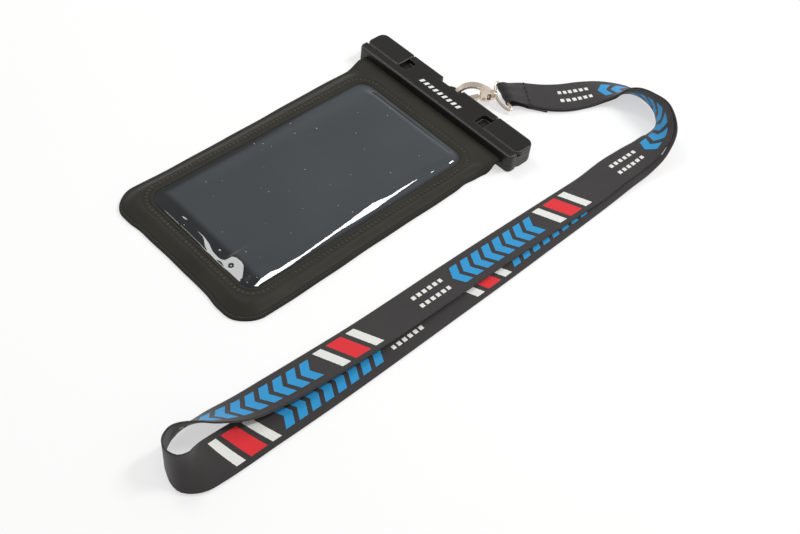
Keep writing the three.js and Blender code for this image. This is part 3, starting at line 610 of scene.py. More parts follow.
def plan_ring(x0, x1, y0, y1, radii):
    """Points round a plan with rounded corners, anticlockwise from its lower left, and directions outward."""
    corners = (
        (x0, y0, 1, 1, math.pi, radii[0]),
        (x1, y0, -1, 1, 1.5 * math.pi, radii[1]),
        (x1, y1, -1, -1, 0.0, radii[2]),
        (x0, y1, 1, -1, 0.5 * math.pi, radii[3]),
    )
    arcs = []
    for x, y, sx, sy, start, radius in corners:
        angles = start + np.linspace(0, 0.5 * math.pi, CORNER_STEPS + 1)
        outward = np.column_stack([np.cos(angles), np.sin(angles)])
        arcs.append((np.array([x + sx * radius, y + sy * radius]) + outward * radius, outward))
    points, directions = [], []
    for k, (arc, outward) in enumerate(arcs):
        following = arcs[(k + 1) % 4][0]
        share = np.linspace(0, 1, SIDE_STEPS[k] + 1)[1:-1, None]
        points += [arc, arc[-1] * (1 - share) + following[0] * share]
        directions += [outward, np.repeat(outward[-1:], SIDE_STEPS[k] - 1, axis=0)]
    return np.vstack(points), np.vstack(directions)


def window_ring(offset):
    """Places round the window's opening at that distance outside it (mm)."""
    sides = (-WINDOW_HALF - offset, WINDOW_HALF + offset, WINDOW_LOW - offset, WINDOW_HIGH + offset)
    return plan_ring(*sides, [WINDOW_CORNER + offset] * 4)[0]


def rim_ring():
    """Places round the sheets' rim and the directions outward from it (mm)."""
    return plan_ring(-HALF_WIDTH, HALF_WIDTH, FOOT, SHEET_END, [POUCH_CORNER] * 2 + [GRIP_CORNER] * 2)


def rim_distance(x, y):
    """How far inside the pouch's rim a place lies, round the foot's corners too (mm)."""
    side = HALF_WIDTH - np.abs(x)
    foot = y - FOOT
    corner = np.hypot(np.maximum(POUCH_CORNER - side, 0), np.maximum(POUCH_CORNER - foot, 0))
    near_corner = (side < POUCH_CORNER) & (foot < POUCH_CORNER)
    return np.where(near_corner, POUCH_CORNER - corner, np.minimum(side, foot))


def window_distance(x, y):
    """How far outside the window's opening a place lies; negative inside it (mm)."""
    radius = WINDOW_CORNER
    middle = (WINDOW_LOW + WINDOW_HIGH) / 2
    dx = np.abs(x) - (WINDOW_HALF - radius)
    dy = np.abs(y - middle) - ((WINDOW_HIGH - WINDOW_LOW) / 2 - radius)
    outside = np.hypot(np.maximum(dx, 0), np.maximum(dy, 0))
    return outside + np.minimum(np.maximum(dx, dy), 0) - radius


def front_height(x, y):
    """Top of the front sheet: up from its welded rim, along the window, and into the clamp (mm)."""
    rise = smooth(rim_distance(x, y) / RISE_WIDTH)
    lying = RIM_TOP + BORDER_RISE * rise
    held = smooth((y - CLAMP_FACE + 14) / 13)
    valley = np.sin(math.pi * np.clip((y - WINDOW_HIGH) / NECK, 0, 1))
    top = lying * (1 - held) + GRIP_TOP * held - valley * rise * (1 - held)
    # A rolled lip at the opening, grooves beside the weld's ribs, creases by the clamp and a soft waver
    out = window_distance(x, y)
    bead = 0.32 * np.sin(math.pi * np.clip(out / 1.9, 0, 1)) - 0.3 * (1 - smooth(out / 0.9))
    grooves = 0.3 * np.exp(-(((out - 2.15) / 0.22) ** 2)) + 0.28 * np.exp(-(((out - 5.1) / 0.22) ** 2))
    crease = np.exp(-(((y - CLAMP_FACE + 5.5) / 3.2) ** 2)) * smooth(rim_distance(x, y) / 5)
    crease = crease * (0.22 * np.sin(x / 3.1 + 0.8 * np.sin(x / 7)) + 0.12 * np.sin(x / 1.7 + 2))
    swell = 0.12 * np.sin(x / 9 + y / 23) * np.sin(y / 14) * smooth(rim_distance(x, y) / 6) * smooth(out / 6)
    return top + bead - grooves + (crease + swell) * (1 - held)


def rim_shift(places):
    """Places of the sheets moved as their trimming wanders: in along the right side, out at the foot (mm)."""
    x, y = places[:, 0], places[:, 1]
    hand_cut = 0.1 * np.sin(x / 8.3 + y / 13) + 0.09 * np.sin(x / 3.9 - y / 5.1 + 1.2)
    right = -1.8 * smooth((y + 170) / 110) - 0.9 * np.exp(-(((y + 34) / 5) ** 2))
    right = right + 1.3 * np.exp(-(((y + 16.5) / 4.5) ** 2))
    left = -0.85 * np.exp(-(((y + 146) / 28) ** 2)) + 1.3 * smooth((y + 112) / 84)
    side = np.where(x > 0, right, left) + hand_cut
    across = np.sign(x) * side * smooth((np.abs(x) - 41) / 13) * smooth((CLAMP_FACE - 0.4 - y) / 4)
    foot = 1.15 * smooth((np.abs(x) - 25) / 11) * (1 - smooth((np.abs(x) - 44) / 10)) + hand_cut
    return places + np.column_stack([across, -foot * smooth((FOOT + 13 - y) / 13)])


def front_sheet(material):
    """The front sheet as rings from the window's opening out to the rim, over and back underneath."""
    rings = [window_ring(offset) for offset in WINDOW_RINGS]
    inner, outline = rings[-1], rim_ring()[0]
    rings += [inner * (1 - share) + outline * share for share in BORDER_RINGS]
    count = len(rings[0])
    upper, lower = [], []
    for ring in rings:
        height = front_height(ring[:, 0], ring[:, 1])
        lip = 0.3 * (1 - smooth(window_distance(ring[:, 0], ring[:, 1]) / 0.9))
        moved = rim_shift(ring)
        upper.append(np.column_stack([moved, height]))
        lower.append(np.column_stack([moved, height - SHEET_THICK + lip]))
    layers = upper + lower[::-1]
    points = np.vstack(layers)
    plan = np.vstack(rings + rings[::-1])
    faces = quads(len(layers), count, closed_rows=True, closed_columns=True)
    piece = new_piece("front_sheet", points, faces, material)
    keep_numbers(piece, "rim_mm", np.maximum(rim_distance(plan[:, 0], plan[:, 1]), 0))
    face_out(piece)
    return piece


def squeezed_grid(half_width, low, high, foot_radius, head_radius, columns, rows):
    """Rows of places across a plan with rounded ends, denser near the ends' corners (mm)."""
    levels = [low, high]
    for radius, start, sign in ((foot_radius, low, 1), (head_radius, high, -1)):
        if radius:
            angles = np.linspace(0, math.pi / 2, 26)
            levels.extend(start + sign * radius * (1 - np.cos(angles)))
    levels.extend(np.linspace(low + foot_radius, high - head_radius, rows))
    levels = np.unique(np.round(levels, 4))
    grid = []
    for y in levels:
        reach = half_width
        for radius, depth in ((foot_radius, y - low), (head_radius, high - y)):
            if depth < radius:
                reach = min(reach, half_width - radius + math.sqrt(max(radius**2 - (radius - depth) ** 2, 0)))
        grid.append(np.column_stack([np.linspace(-reach, reach, columns), np.full(columns, y)]))
    return np.array(grid)


def laid_sheet(name, grid, height, thickness, material, shift=None):
    """A closed sheet over a grid of places, with that top height and thickness (mm)."""
    rows, columns = grid.shape[:2]
    flat = grid.reshape(-1, 2)
    top = height(flat[:, 0], flat[:, 1])
    moved = flat if shift is None else shift(flat)
    upper = np.column_stack([moved, top])
    lower = np.column_stack([moved, top - thickness])
    count = rows * columns
    faces = quads(rows, columns)
    faces += [tuple(count + i for i in reversed(face)) for face in quads(rows, columns)]
    border = list(range(columns))
    border += [i * columns + columns - 1 for i in range(1, rows)]
    border += [(rows - 1) * columns + j for j in range(columns - 2, -1, -1)]
    border += [i * columns for i in range(rows - 2, 0, -1)]
    for a, b in zip(border, border[1:] + border[:1]):
        faces.append((a, count + a, count + b, b))
    piece = new_piece(name, np.vstack([upper, lower]), faces, material)
    face_out(piece)
    return piece, flat


def back_sheet(material):
    """The back sheet, flat on what the pouch lies on and rising into the clamp."""

    def height(x, y):
        held = smooth((y - CLAMP_FACE + 11) / 10)
        swell = 0.1 * np.sin(x / 11) * np.sin(y / 17 + 1)
        return 0.66 + 4.64 * held + np.maximum(swell, 0) * (1 - held)

    grid = squeezed_grid(HALF_WIDTH, FOOT, SHEET_END, POUCH_CORNER, 0, 56, 96)
    piece, flat = laid_sheet("back_sheet", grid, height, SHEET_THICK, material, rim_shift)
    distance = np.maximum(rim_distance(flat[:, 0], flat[:, 1]), 0)
    keep_numbers(piece, "rim_mm", np.concatenate([distance, distance]))
    return piece


def window_ribs(material, pitch):
    """The ribs that the die pressed into the window's weld."""
    ring = window_ring(3.65)
    line = np.column_stack([ring, front_height(ring[:, 0], ring[:, 1]) + 0.02])
    shape = {"Spacing": pitch, "Length": 1.15, "Width": 2.3, "Height": 0.42}
    return beads("window_weld_ribs", line, upright(line), True, shape, material)


def rim_ribs(material, pitch):
    """The finer ribs along the rim's weld, from the clamp round the foot and back."""
    outline, outward = rim_ring()
    outline = outline - outward * 1.2
    outline = outline[outline[:, 1] < CLAMP_FACE - 1.5]
    gap = int(np.argmax(np.linalg.norm(np.diff(outline, axis=0), axis=1))) + 1
    outline = np.roll(outline, -gap, axis=0)
    line = np.column_stack([rim_shift(outline), front_height(outline[:, 0], outline[:, 1])])
    shape = {"Spacing": pitch, "Length": 0.6, "Width": 1.7, "Height": 0.2}
    return beads("rim_weld_ribs", line, upright(line), False, shape, material)


# Blisters and dips in the film near its foot: middle x, y, radius, height (mm)
BLISTERS = (
    (22.1, -168.0, 1.0, -0.27),
    (25.6, -166.9, 0.6, -0.09),
    (10.8, -165.0, 1.3, 0.22),
)
# How far the film laps under the front sheet, its thickness and how high it swells (mm)
FILM_LAP = 2.6
FILM_THICK = 0.5
FILM_SWELL = 1.6
# Along the right weld the film falls by a slope: place y, inner and outer edge x (mm), slope
RIGHT_BAND = (
    (-170.0, 39.5, 40.4, 0.52),
    (-162.0, 37.3, 39.9, 0.52),
    (-156.0, 37.1, 39.9, 0.52),
    (-151.0, 38.2, 40.0, 0.52),
    (-145.5, 37.7, 40.0, 0.52),
    (-138.5, 38.2, 39.4, 0.52),
    (-110.5, 36.1, 37.8, 0.52),
    (-99.0, 35.1, 38.1, 0.52),
    (-87.0, 34.2, 38.1, 0.52),
    (-82.0, 34.6, 37.6, 0.52),
    (-74.0, 35.6, 37.1, 0.52),
    (-66.0, 35.2, 36.8, 0.52),
    (-59.5, 35.3, 36.4, 0.52),
    (-53.5, 35.8, 36.1, 0.52),
    (-49.5, 36.4, 36.5, 0.48),
    (-48.0, 36.5, 36.6, 0.36),
    (-46.3, 36.3, 37.0, 0.52),
    (-43.5, 36.6, 37.3, 0.52),
    (-42.0, 37.2, 37.3, 0.34),
    (-35.0, 37.7, 37.8, 0.34),
    (-33.5, 37.5, 38.3, 0.52),
    (-29.9, 37.2, 38.5, 0.53),
    (-26.8, 36.8, 37.6, 0.52),
    (-25.0, 36.6, 36.8, 0.3),
)
# Over the foot's weld it falls towards the foot: place x, lower and upper edge y (mm), share of the slope
FOOT_BAND = (
    (-24.0, -166.8, -166.7, 0.3),
    (-19.5, -166.8, -166.7, 0.3),
    (-18.8, -166.8, -166.5, 1.0),
    (-14.8, -166.6, -166.2, 1.0),
    (-13.8, -166.5, -166.3, 0.3),
    (-9.3, -166.4, -166.3, 0.3),
    (-8.2, -166.5, -166.3, 1.0),
    (0.0, -167.4, -166.9, 1.0),
    (4.2, -169.7, -167.6, 1.0),
    (9.3, -171.2, -169.4, 1.0),
    (14.4, -170.7, -169.7, 1.0),
    (16.7, -169.9, -169.2, 1.0),
    (17.6, -169.9, -164.9, 1.0),
    (20.2, -170.6, -163.4, 1.0),
    (24.1, -171.3, -163.1, 1.0),
    (26.5, -171.3, -163.8, 1.0),
    (29.5, -171.3, -166.6, 1.0),
    (32.0, -171.3, -169.2, 1.0),
    (34.0, -171.4, -170.8, 1.0),
)
# The foot's full slope, and over how much every slope sets in (mm)
FOOT_SLOPE = 0.17
SLOPE_SOFT = 0.5


def ramp(t):
    """The sum of an S curve up to t, for a slope that sets in softly."""
    share = np.clip(t, 0, 1)
    return np.where(t < 1, share**3 - share**4 / 2, t - 0.5)


def band_at(table, place):
    """A table's two edges and slope at places between its rows."""
    places, *values = np.array(table).T
    return [np.interp(place, places, value) for value in values]


def right_fall(x, y):
    """The film's height over the right weld: swollen inside, down along RIGHT_BAND (mm)."""
    inner, outer, slope = band_at(RIGHT_BAND, y)
    wide = outer - inner
    width = np.maximum(wide - 0.5 * smooth(wide / 3), 0.05)
    distance = outer - x
    fall = ramp(distance / SLOPE_SOFT + 1) - ramp((distance - width) / SLOPE_SOFT)
    rest = FILM_SWELL - slope * (width + SLOPE_SOFT)
    return slope * SLOPE_SOFT * fall + rest * smooth((distance - width) / 5)


def foot_fall(x, y):
    """The film's height over the foot's weld: down along FOOT_BAND, and steeply at its right end (mm)."""
    lower, upper, share = band_at(FOOT_BAND, x)
    bottom = lower - WINDOW_LOW
    level = ramp((y - lower) / SLOPE_SOFT + 1) - ramp((y - upper) / SLOPE_SOFT) - 0.5
    start = np.maximum(FOOT_SLOPE * (bottom - share * SLOPE_SOFT / 2), 0.1)
    wall = np.clip((y - WINDOW_LOW + 0.5) / np.where(x < 3, 0.7, 1.3 * start), 0, 1)
    foot = FOOT_SLOPE * (bottom + share * SLOPE_SOFT * level) - start * (1 - wall)
    reached = FOOT_SLOPE * (bottom + share * (upper - lower + SLOPE_SOFT / 2))
    foot = foot + (FILM_SWELL - reached) * smooth((y - upper) / 32)
    steep = FILM_SWELL * smooth((y - WINDOW_LOW - 0.2) / 2.4)
    return foot + (steep - foot) * smooth((x - 31) / 6)


def film_height(x, y):
    """Top of the window's film: under the frame by its welds, swollen inside, slack at the foot (mm)."""
    inside = -window_distance(x, y)
    swell = right_fall(x, y) / FILM_SWELL * np.maximum(foot_fall(x, y), 0)
    swell = swell * smooth((x + WINDOW_HALF + 0.2) / 15) * smooth((WINDOW_HIGH - y + 0.2) / 8)
    top = 4.5 + 0.45 * np.clip(inside + 0.75, 0, 1) + swell
    for middle_x, middle_y, radius, height in BLISTERS:
        near = np.hypot(x - middle_x, y - middle_y) / radius
        top = top + height * np.exp(-(near**2)) * smooth(inside / 2)
    return top + 0.06 * np.sin(x / 12 + y / 31) * np.sin(y / 19) * smooth(inside / 12)


def window_film(material):
    """The clear film under the opening, with its painted shade: darker along the foot, the lower left side
    and close by the welds, and a little towards the foot.
    """
    low, high, corner = WINDOW_LOW - FILM_LAP, WINDOW_HIGH + FILM_LAP, WINDOW_CORNER + FILM_LAP
    grid = squeezed_grid(WINDOW_HALF + FILM_LAP, low, high, corner, corner, 150, 220)
    # The columns are drawn towards both sides, where the film bends most
    spread = 1.35
    reach = np.abs(grid[:, :1, 0])
    grid[:, :, 0] = np.sin(grid[:, :, 0] / reach * spread) / math.sin(spread) * reach
    piece, flat = laid_sheet("window_film_clear", grid, film_height, FILM_THICK, material)
    inside = -window_distance(flat[:, 0], flat[:, 1])
    # Painted shade, kept as the shade attribute
    foot = smooth((WINDOW_LOW + 11 - flat[:, 1]) / 4)
    left = smooth((-WINDOW_HALF + 6 - flat[:, 0]) / 4) * smooth((-60 - flat[:, 1]) / 60)
    far = 0.1 * smooth((-80 - flat[:, 1]) / 80)
    shade = np.clip(np.maximum(foot, left) * 0.9 + smooth((2.6 - inside) / 2) * 0.8 + far, 0, 1)
    keep_numbers(piece, "shade", np.concatenate([shade, shade]))
    return piece


# The lanyard


def station_frames(rows):
    """Middles, width directions and normals of the stations, as the strap lies (mm)."""
    points = np.array([row[:3] for row in rows], float)
    padded = np.vstack([points[:1], points, points[-1:]])
    forward = unit(padded[2:] - padded[:-2])
    left = unit(np.cross([0, 0, 1], forward))
    turn = np.radians([row[3] for row in rows])[:, None]
    width = np.cos(turn) * np.cross(forward, left) + np.sin(turn) * left
    return points, width, np.cross(forward, width)


def fold_frames():
    """The turn round the ring's bar, from above it to below."""
    angles = np.radians(np.arange(60, 301, 15))[:, None]
    outward = ALONG * np.cos(angles) + RING_ABOVE * np.sin(angles)
    points = BAR_MIDDLE - ALONG * FOLD_BACK + RING_SIDE * FOLD_SHIFT + outward * FOLD_RADIUS
    return points, np.repeat(RING_SIDE[None], len(points), axis=0)


def strap_stations(half_strap):
    """Every station of the strip in order: middle, width direction, half width, share of the fold."""
    middle, width, normal = station_frames(DOUBLED)
    shift = np.array([row[4] for row in DOUBLED], float)[:, None]
    lift = STRAP_SPACING / 2
    out = middle + normal * lift - width * shift
    home = (middle - normal * lift + width * shift)[::-1]
    upper, upper_width, _ = station_frames(UPPER_RUN)
    lower, lower_width, _ = station_frames(LOWER_RUN)
    fold, fold_width = fold_frames()
    tail = middle[:2] + normal[:2] * (lift + STRAP_SPACING)
    points = np.vstack([out, upper, lower, home, fold, tail])
    widths = np.vstack([width, upper_width, lower_width, -width[::-1], fold_width, -width[:2]])
    before_fold = len(points) - len(fold) - len(tail)
    # Both sewn ends and the way into the fold are gathered a little
    half = np.full(len(points), half_strap)
    half[:2] -= (1.4, 0.4)
    half[before_fold - 3 : before_fold] -= (0.1, 0.7, 1.6)
    half[before_fold : -len(tail)] = FOLD_HALF_WIDTH
    half[-len(tail) :] -= (1.6, 0.5)
    folded = np.zeros(len(points))
    folded[before_fold : -len(tail)] = 1
    return points, widths, half, folded


def between_stations(a, b, ta, tb, t):
    """The curve from a to b with those tangents, at shares t of the way."""
    near = a * (2 * t**3 - 3 * t**2 + 1) + ta * (t**3 - 2 * t**2 + t)
    return near + b * (3 * t**2 - 2 * t**3) + tb * (t**3 - t**2)


def smooth_strip(points, widths, half, folded, step):
    """The stations joined by smooth curves, about step apart, with frames square to the line (mm)."""
    values = np.column_stack([points, widths, half, folded])
    chord = np.linalg.norm(np.diff(points, axis=0), axis=1)
    slope = np.diff(values, axis=0) / chord[:, None]
    tangent = np.empty_like(values)
    tangent[0], tangent[-1] = slope[0], slope[-1]
    weight = chord[:-1, None] / (chord[:-1] + chord[1:])[:, None]
    tangent[1:-1] = slope[:-1] * (1 - weight) + slope[1:] * weight
    result = []
    for i, length in enumerate(chord):
        count = max(int(math.ceil(length / step)), 2)
        t = np.arange(count + (i == len(chord) - 1))[:, None] / count
        ends = (values[i], values[i + 1], tangent[i] * length, tangent[i + 1] * length)
        result.append(between_stations(*ends, t))
    result = np.vstack(result)
    middle, width, half, folded = result[:, :3], result[:, 3:6], result[:, 6], result[:, 7]
    forward = unit(np.gradient(middle, axis=0))
    width = unit(width - forward * np.sum(width * forward, axis=1, keepdims=True))
    return middle, width, np.cross(forward, width), half, np.clip(folded, 0, 1)


def strip_surface(strip, shares, lift):
    """Places at shares of the strip's half width, lifted towards its printed side (mm)."""
    middle, width, normal, half, folded = strip
    shares = np.asarray(shares)[None, :, None]
    reach = shares * half[:, None, None]
    folded = folded[:, None, None]
    pleat = np.sin(shares * 7.5 + 0.6) * folded * FOLD_PLEAT
    lying = middle[:, None] + width[:, None] * reach + normal[:, None] * (lift + pleat)
    return lying - ALONG * (reach * folded * FOLD_SKEW)


def lay_strip(half_strap):
    """The strip's frames, its length up to each, and which of them is sewn down near the ring."""
    stations = strap_stations(half_strap)
    strip = smooth_strip(*stations, step=STRIP_STEP)
    middle = strip[0]
    run = np.concatenate([[0], np.cumsum(np.linalg.norm(np.diff(middle, axis=0), axis=1))])
    home_end = 2 * len(DOUBLED) + len(UPPER_RUN) + len(LOWER_RUN) - 1
    away = np.linalg.norm(middle - stations[0][home_end], axis=1)
    away[run < run[-1] - 60] = np.inf
    return strip, run, int(np.argmin(away))


# Where across its half width the strip is made, how far out its edges are printed, and its stitches (mm)
STRIP_SHARES = np.array([-0.985, -0.93, -0.8, -0.62, -0.42, -0.21, 0, 0.21, 0.42, 0.62, 0.8, 0.93, 0.985])
EDGE_SHARE = 1.02
STITCH_PLACES = 24
STITCH = {"Spacing": 2.7, "Length": 2.0, "Width": 1.3, "Height": 0.9}


def lanyard(strip, run, sewn, material, thread, thickness):
    """The printed strip as one woven ribbon, and its sewing."""
    half_thick = thickness / 2
    upper = strip_surface(strip, STRIP_SHARES, half_thick)
    lower = strip_surface(strip, STRIP_SHARES[::-1], -half_thick)
    right, left = (strip_surface(strip, [share], 0) for share in (1.0, -1.0))
    loop = np.concatenate([upper, right, lower, left], axis=1)
    rows, columns = loop.shape[:2]
    piece = new_piece("printed_lanyard", loop.reshape(-1, 3), tube_faces(rows, columns), material)
    # The print's place across: 0 to 20 on faces of the printed side, and 40 more on those of the back
    across = np.concatenate([STRIP_SHARES, [EDGE_SHARE], STRIP_SHARES[::-1], [-EDGE_SHARE]])
    across = PRINT_HALF + PRINT_HALF * across
    corners = np.array([corner.vertex_index for corner in piece.data.loops])
    column = corners % columns
    first = [polygon.loop_start for polygon in piece.data.polygons]
    total = [polygon.loop_total for polygon in piece.data.polygons]
    behind = np.minimum.reduceat(column, first) >= len(STRIP_SHARES)
    uv = np.column_stack([across[column] + PRINT_BACK * np.repeat(behind, total), run[corners // columns]])
    piece.data.uv_layers.new(name="strip_mm").data.foreach_set("uv", uv.ravel())
    face_out(piece)
    section = tuple(values[sewn + 1 : sewn + 2] for values in strip)
    line = strip_surface(section, np.linspace(-0.9, 0.9, STITCH_PLACES), -half_thick - 0.08)[0]
    ups = np.repeat(-section[2], STITCH_PLACES, axis=0)
    return piece, beads("lanyard_stitches", line, ups, False, STITCH, thread)


# The ring between the clasp and the lanyard

# The ring's wire in its own plane: along the clasp and across it, with its bar askew (mm)
RING_PLAN = (
    (20.1, 0.0),
    (20.0, 3.0),
    (19.9, 5.6),
    (20.4, 7.5),
    (21.7, 7.8),
    (22.4, 6.2),
    (23.8, 3.2),
    (25.3, 0.0),
    (26.8, -3.2),
    (28.2, -6.2),
    (28.9, -8.0),
    (28.0, -9.1),
    (26.0, -8.5),
    (23.4, -6.0),
    (21.3, -3.0),
)
# The swivel's turned stem: place along the clasp and radius (mm)
STEM = (
    (15.4, 1.6),
    (15.55, 1.8),
    (16.35, 1.8),
    (16.5, 1.0),
    (18.95, 1.0),
    (18.98, 1.75),
    (19.3, 2.15),
    (20.2, 2.15),
    (20.7, 1.7),
    (20.95, 0.9),
)


def closed_curve(plan, fine):
    """A smooth closed curve through the places of a plan, with fine steps from each to the next."""
    path = []
    for i in range(len(plan)):
        a, b, c, d = (plan[(i + k) % len(plan)] for k in (-1, 0, 1, 2))
        for t in np.arange(fine) / fine:
            rise = (c - a) * t + (2 * a - 5 * b + 4 * c - d) * t**2 + (3 * b - a - 3 * c + d) * t**3
            path.append(b + 0.5 * rise)
    return np.array(path)


def lanyard_ring(material):
    """The bent wire ring and its turned stem, as one piece."""
    start = BAR_MIDDLE - ALONG * BAR_ALONG
    path = closed_curve(np.array(RING_PLAN), 10)
    middle = start + path[:, :1] * ALONG + path[:, 1:] * RING_SIDE
    forward = unit(np.roll(middle, -1, axis=0) - np.roll(middle, 1, axis=0))
    outward = unit(np.cross(forward, RING_ABOVE))
    angles = np.linspace(0, math.tau, 14, endpoint=False)[:, None]
    points = []
    for place, out in zip(middle, outward):
        points.extend(place + (out * np.cos(angles) + RING_ABOVE * np.sin(angles)) * RING_WIRE)
    faces = quads(len(path), len(angles), closed_rows=True, closed_columns=True)
    first = len(points)
    angles = np.linspace(0, math.tau, 32, endpoint=False)[:, None]
    around = RING_SIDE * np.cos(angles) + RING_ABOVE * np.sin(angles)
    for along, radius in STEM:
        points.extend(start + ALONG * along + around * radius)
    faces += [tuple(first + i for i in face) for face in tube_faces(len(STEM), len(angles))]
    piece = new_piece("lanyard_ring", points, faces, material)
    face_out(piece)
    return piece


# The marks on the bar

# How many slanted dashes, the first one's x, their spacing, outline and ink (mm)
MARK_COUNT = 9
MARK_START = -15.4
MARK_PITCH = 3.55
MARK_OUTLINE = ((-0.9, -4.2), (1.0, -4.2), (1.9, -1.4), (0.0, -1.4))
MARK_INK = 0.05


def bar_marks(material):
    """Slanted dashes printed on the bar."""
    points, faces = [], []
    for k in range(MARK_COUNT):
        first = len(points)
        for z in (CLAMP_HIGH[2] - MARK_INK, CLAMP_HIGH[2] + MARK_INK):
            points.extend((MARK_START + k * MARK_PITCH + x, y, z) for x, y in MARK_OUTLINE)
        faces += [tuple(first + i for i in face) for face in tube_faces(2, len(MARK_OUTLINE))]
    return new_piece("bar_marks", points, faces, material, flat=True)


# The stage

# The camera's place (m), its directions right and forward, and its lens (mm), solved from the photograph
CAMERA_PLACE = (0.32183, -0.39563, 0.43688)
CAMERA_RIGHT = (0.6875, 0.7204, 0.0915)
CAMERA_FORWARD = (-0.4292, 0.5047, -0.7490)
CAMERA_LENS = 52.85
# The lamps by their direction and distance from the pouch's middle, and their size (m)
POUCH_MIDDLE = Vector((0.02, -0.085, 0))
LAMPS = (
    ("key_lamp", (0.337, 0.47, 0.8155), 1.0, (0.14, 0.38)),
    ("fill_lamp", (-0.516, 0.049, 0.855), 1.1, (0.3, 0.26)),
)
# How much darker the sky is mirrored from overhead
OVERHEAD_DARK = 0.62
# The floor's reach and height (mm), and the share of plain white in how it is seen
FLOOR_REACH = 20000.0
FLOOR_TOP = -0.05
FLOOR_GLOW = 0.55


def turned(right, up, back):
    """The turn that lays an object's own axes along three directions."""
    return Matrix((right, up, back)).transposed().to_4x4()


def photo_camera(scene):
    """The photograph's camera."""
    data = bpy.data.cameras.new("photo_camera")
    data.lens = CAMERA_LENS
    data.sensor_width = 36
    data.clip_start = 0.01
    right = Vector(CAMERA_RIGHT).normalized()
    forward = Vector(CAMERA_FORWARD).normalized()
    up = right.cross(forward)
    scene.camera = linked("photo_camera", data)
    scene.camera.matrix_world = Matrix.Translation(CAMERA_PLACE) @ turned(forward.cross(up), up, -forward)


def studio_lamps(powers):
    """Soft lamps that face the pouch, each with its long side along y."""
    for (name, direction, distance, size), power in zip(LAMPS, powers):
        data = bpy.data.lights.new(name, "AREA")
        data.shape = "RECTANGLE"
        data.size, data.size_y = size
        data.energy = power
        way = Vector(direction).normalized()
        side = Vector((0, 1, 0)).cross(way).normalized()
        place = Matrix.Translation(POUCH_MIDDLE + way * distance)
        linked(name, data).matrix_world = place @ turned(side, way.cross(side), way)


def even_sky(scene, strength):
    """An even light from a sky that is seen as white, and is mirrored darker from overhead."""
    world = bpy.data.worlds.new("even_sky")
    world.use_nodes = True
    tree = world.node_tree
    tree.nodes.clear()
    path = add_node(tree, "ShaderNodeLightPath").outputs
    seen = calc(tree, "MAXIMUM", path["Is Camera Ray"], path["Is Glossy Ray"])
    seen = calc(tree, "MAXIMUM", seen, path["Is Transmission Ray"])
    way = add_node(tree, "ShaderNodeTexCoord").outputs["Generated"]
    height = add_node(tree, "ShaderNodeSeparateXYZ", None, {0: way}).outputs[2]
    eased = {"interpolation_type": "SMOOTHSTEP", "From Min": 0.02, "From Max": 0.5, "To Max": OVERHEAD_DARK}
    overhead = add_node(tree, "ShaderNodeMapRange", eased, {"Value": height}).outputs[0]
    mirrored = calc(tree, "MULTIPLY", path["Is Glossy Ray"], overhead)
    light = calc(tree, "MULTIPLY_ADD", seen, 1.0 - strength, strength)
    light = calc(tree, "SUBTRACT", light, mirrored)
    sky = add_node(tree, "ShaderNodeBackground", {"Color": (1, 1, 1, 1)}, {"Strength": light})
    add_node(tree, "ShaderNodeOutputWorld", None, {"Surface": sky.outputs[0]})
    scene.world = world


def pale_floor(colour):
    """A matt floor that keeps the pouch's shadow and is seen as nearly white."""
    material = bpy.data.materials.new("pale_floor")
    material.use_nodes = True
    tree = material.node_tree
    tree.nodes.clear()
    place = add_node(tree, "ShaderNodeTexCoord").outputs["Object"]
    tone = mixed(tree, noise(tree, place, 0.2, 2), colour, scaled(colour, 0.98))
    matt = add_node(tree, "ShaderNodeBsdfDiffuse", None, {"Color": tone}).outputs[0]
    glow = add_node(tree, "ShaderNodeEmission", {"Color": (1, 1, 1, 1), "Strength": 1.0}).outputs[0]
    path = add_node(tree, "ShaderNodeLightPath").outputs
    seen = calc(tree, "MAXIMUM", path["Is Camera Ray"], path["Is Glossy Ray"])
    share = calc(tree, "MULTIPLY", seen, FLOOR_GLOW)
    surface = add_node(tree, "ShaderNodeMixShader", None, {0: share, 1: matt, 2: glow}).outputs[0]
    add_node(tree, "ShaderNodeOutputMaterial", None, {"Surface": surface})
    corners = [(x * FLOOR_REACH, y * FLOOR_REACH, FLOOR_TOP) for x, y in ((-1, -1), (1, -1), (1, 1), (-1, 1))]
    floor = new_piece("floor", corners, [(0, 1, 2, 3)], material, flat=True)


# The add-on


def colour_setting(name, description, colour):
    """A colour that a user may change."""
    return FloatVectorProperty(
        name=name, description=description, subtype="COLOR", size=4, min=0, max=1, default=linear(colour)
    )


def length_setting(name, description, millimetres):
    """A length that a user may change."""
    return FloatProperty(name=name, description=description, default=millimetres * MM, unit="LENGTH")


class PouchColours(bpy.types.PropertyGroup):
    """Colours of the pouch's finishes"""

    pvc: colour_setting("PVC", "Welded sheets of the pouch", "#2D2C28")
    film: colour_setting("Film", "What shows through the window", "#3D4245")
    clamp: colour_setting("Clamp", "Moulded clamp and levers", "#1C1B18")
    nickel: colour_setting("Nickel", "Plated clasp and ring", "#EADCCB")
    steel: colour_setting("Steel", "Pins and spring", "#B8B4AC")
    webbing: colour_setting("Webbing", "Ground of the lanyard", "#332F2F")
    print_blue: colour_setting("Print blue", "Chevrons on the lanyard", "#229BD8")
    print_red: colour_setting("Print red", "Middle bar on the lanyard", "#E8252F")
    print_white: colour_setting("Print white", "Bars and dashes", "#F0F0EB")
    floor: colour_setting("Floor", "What the pouch lies on", "#FBFBFA")


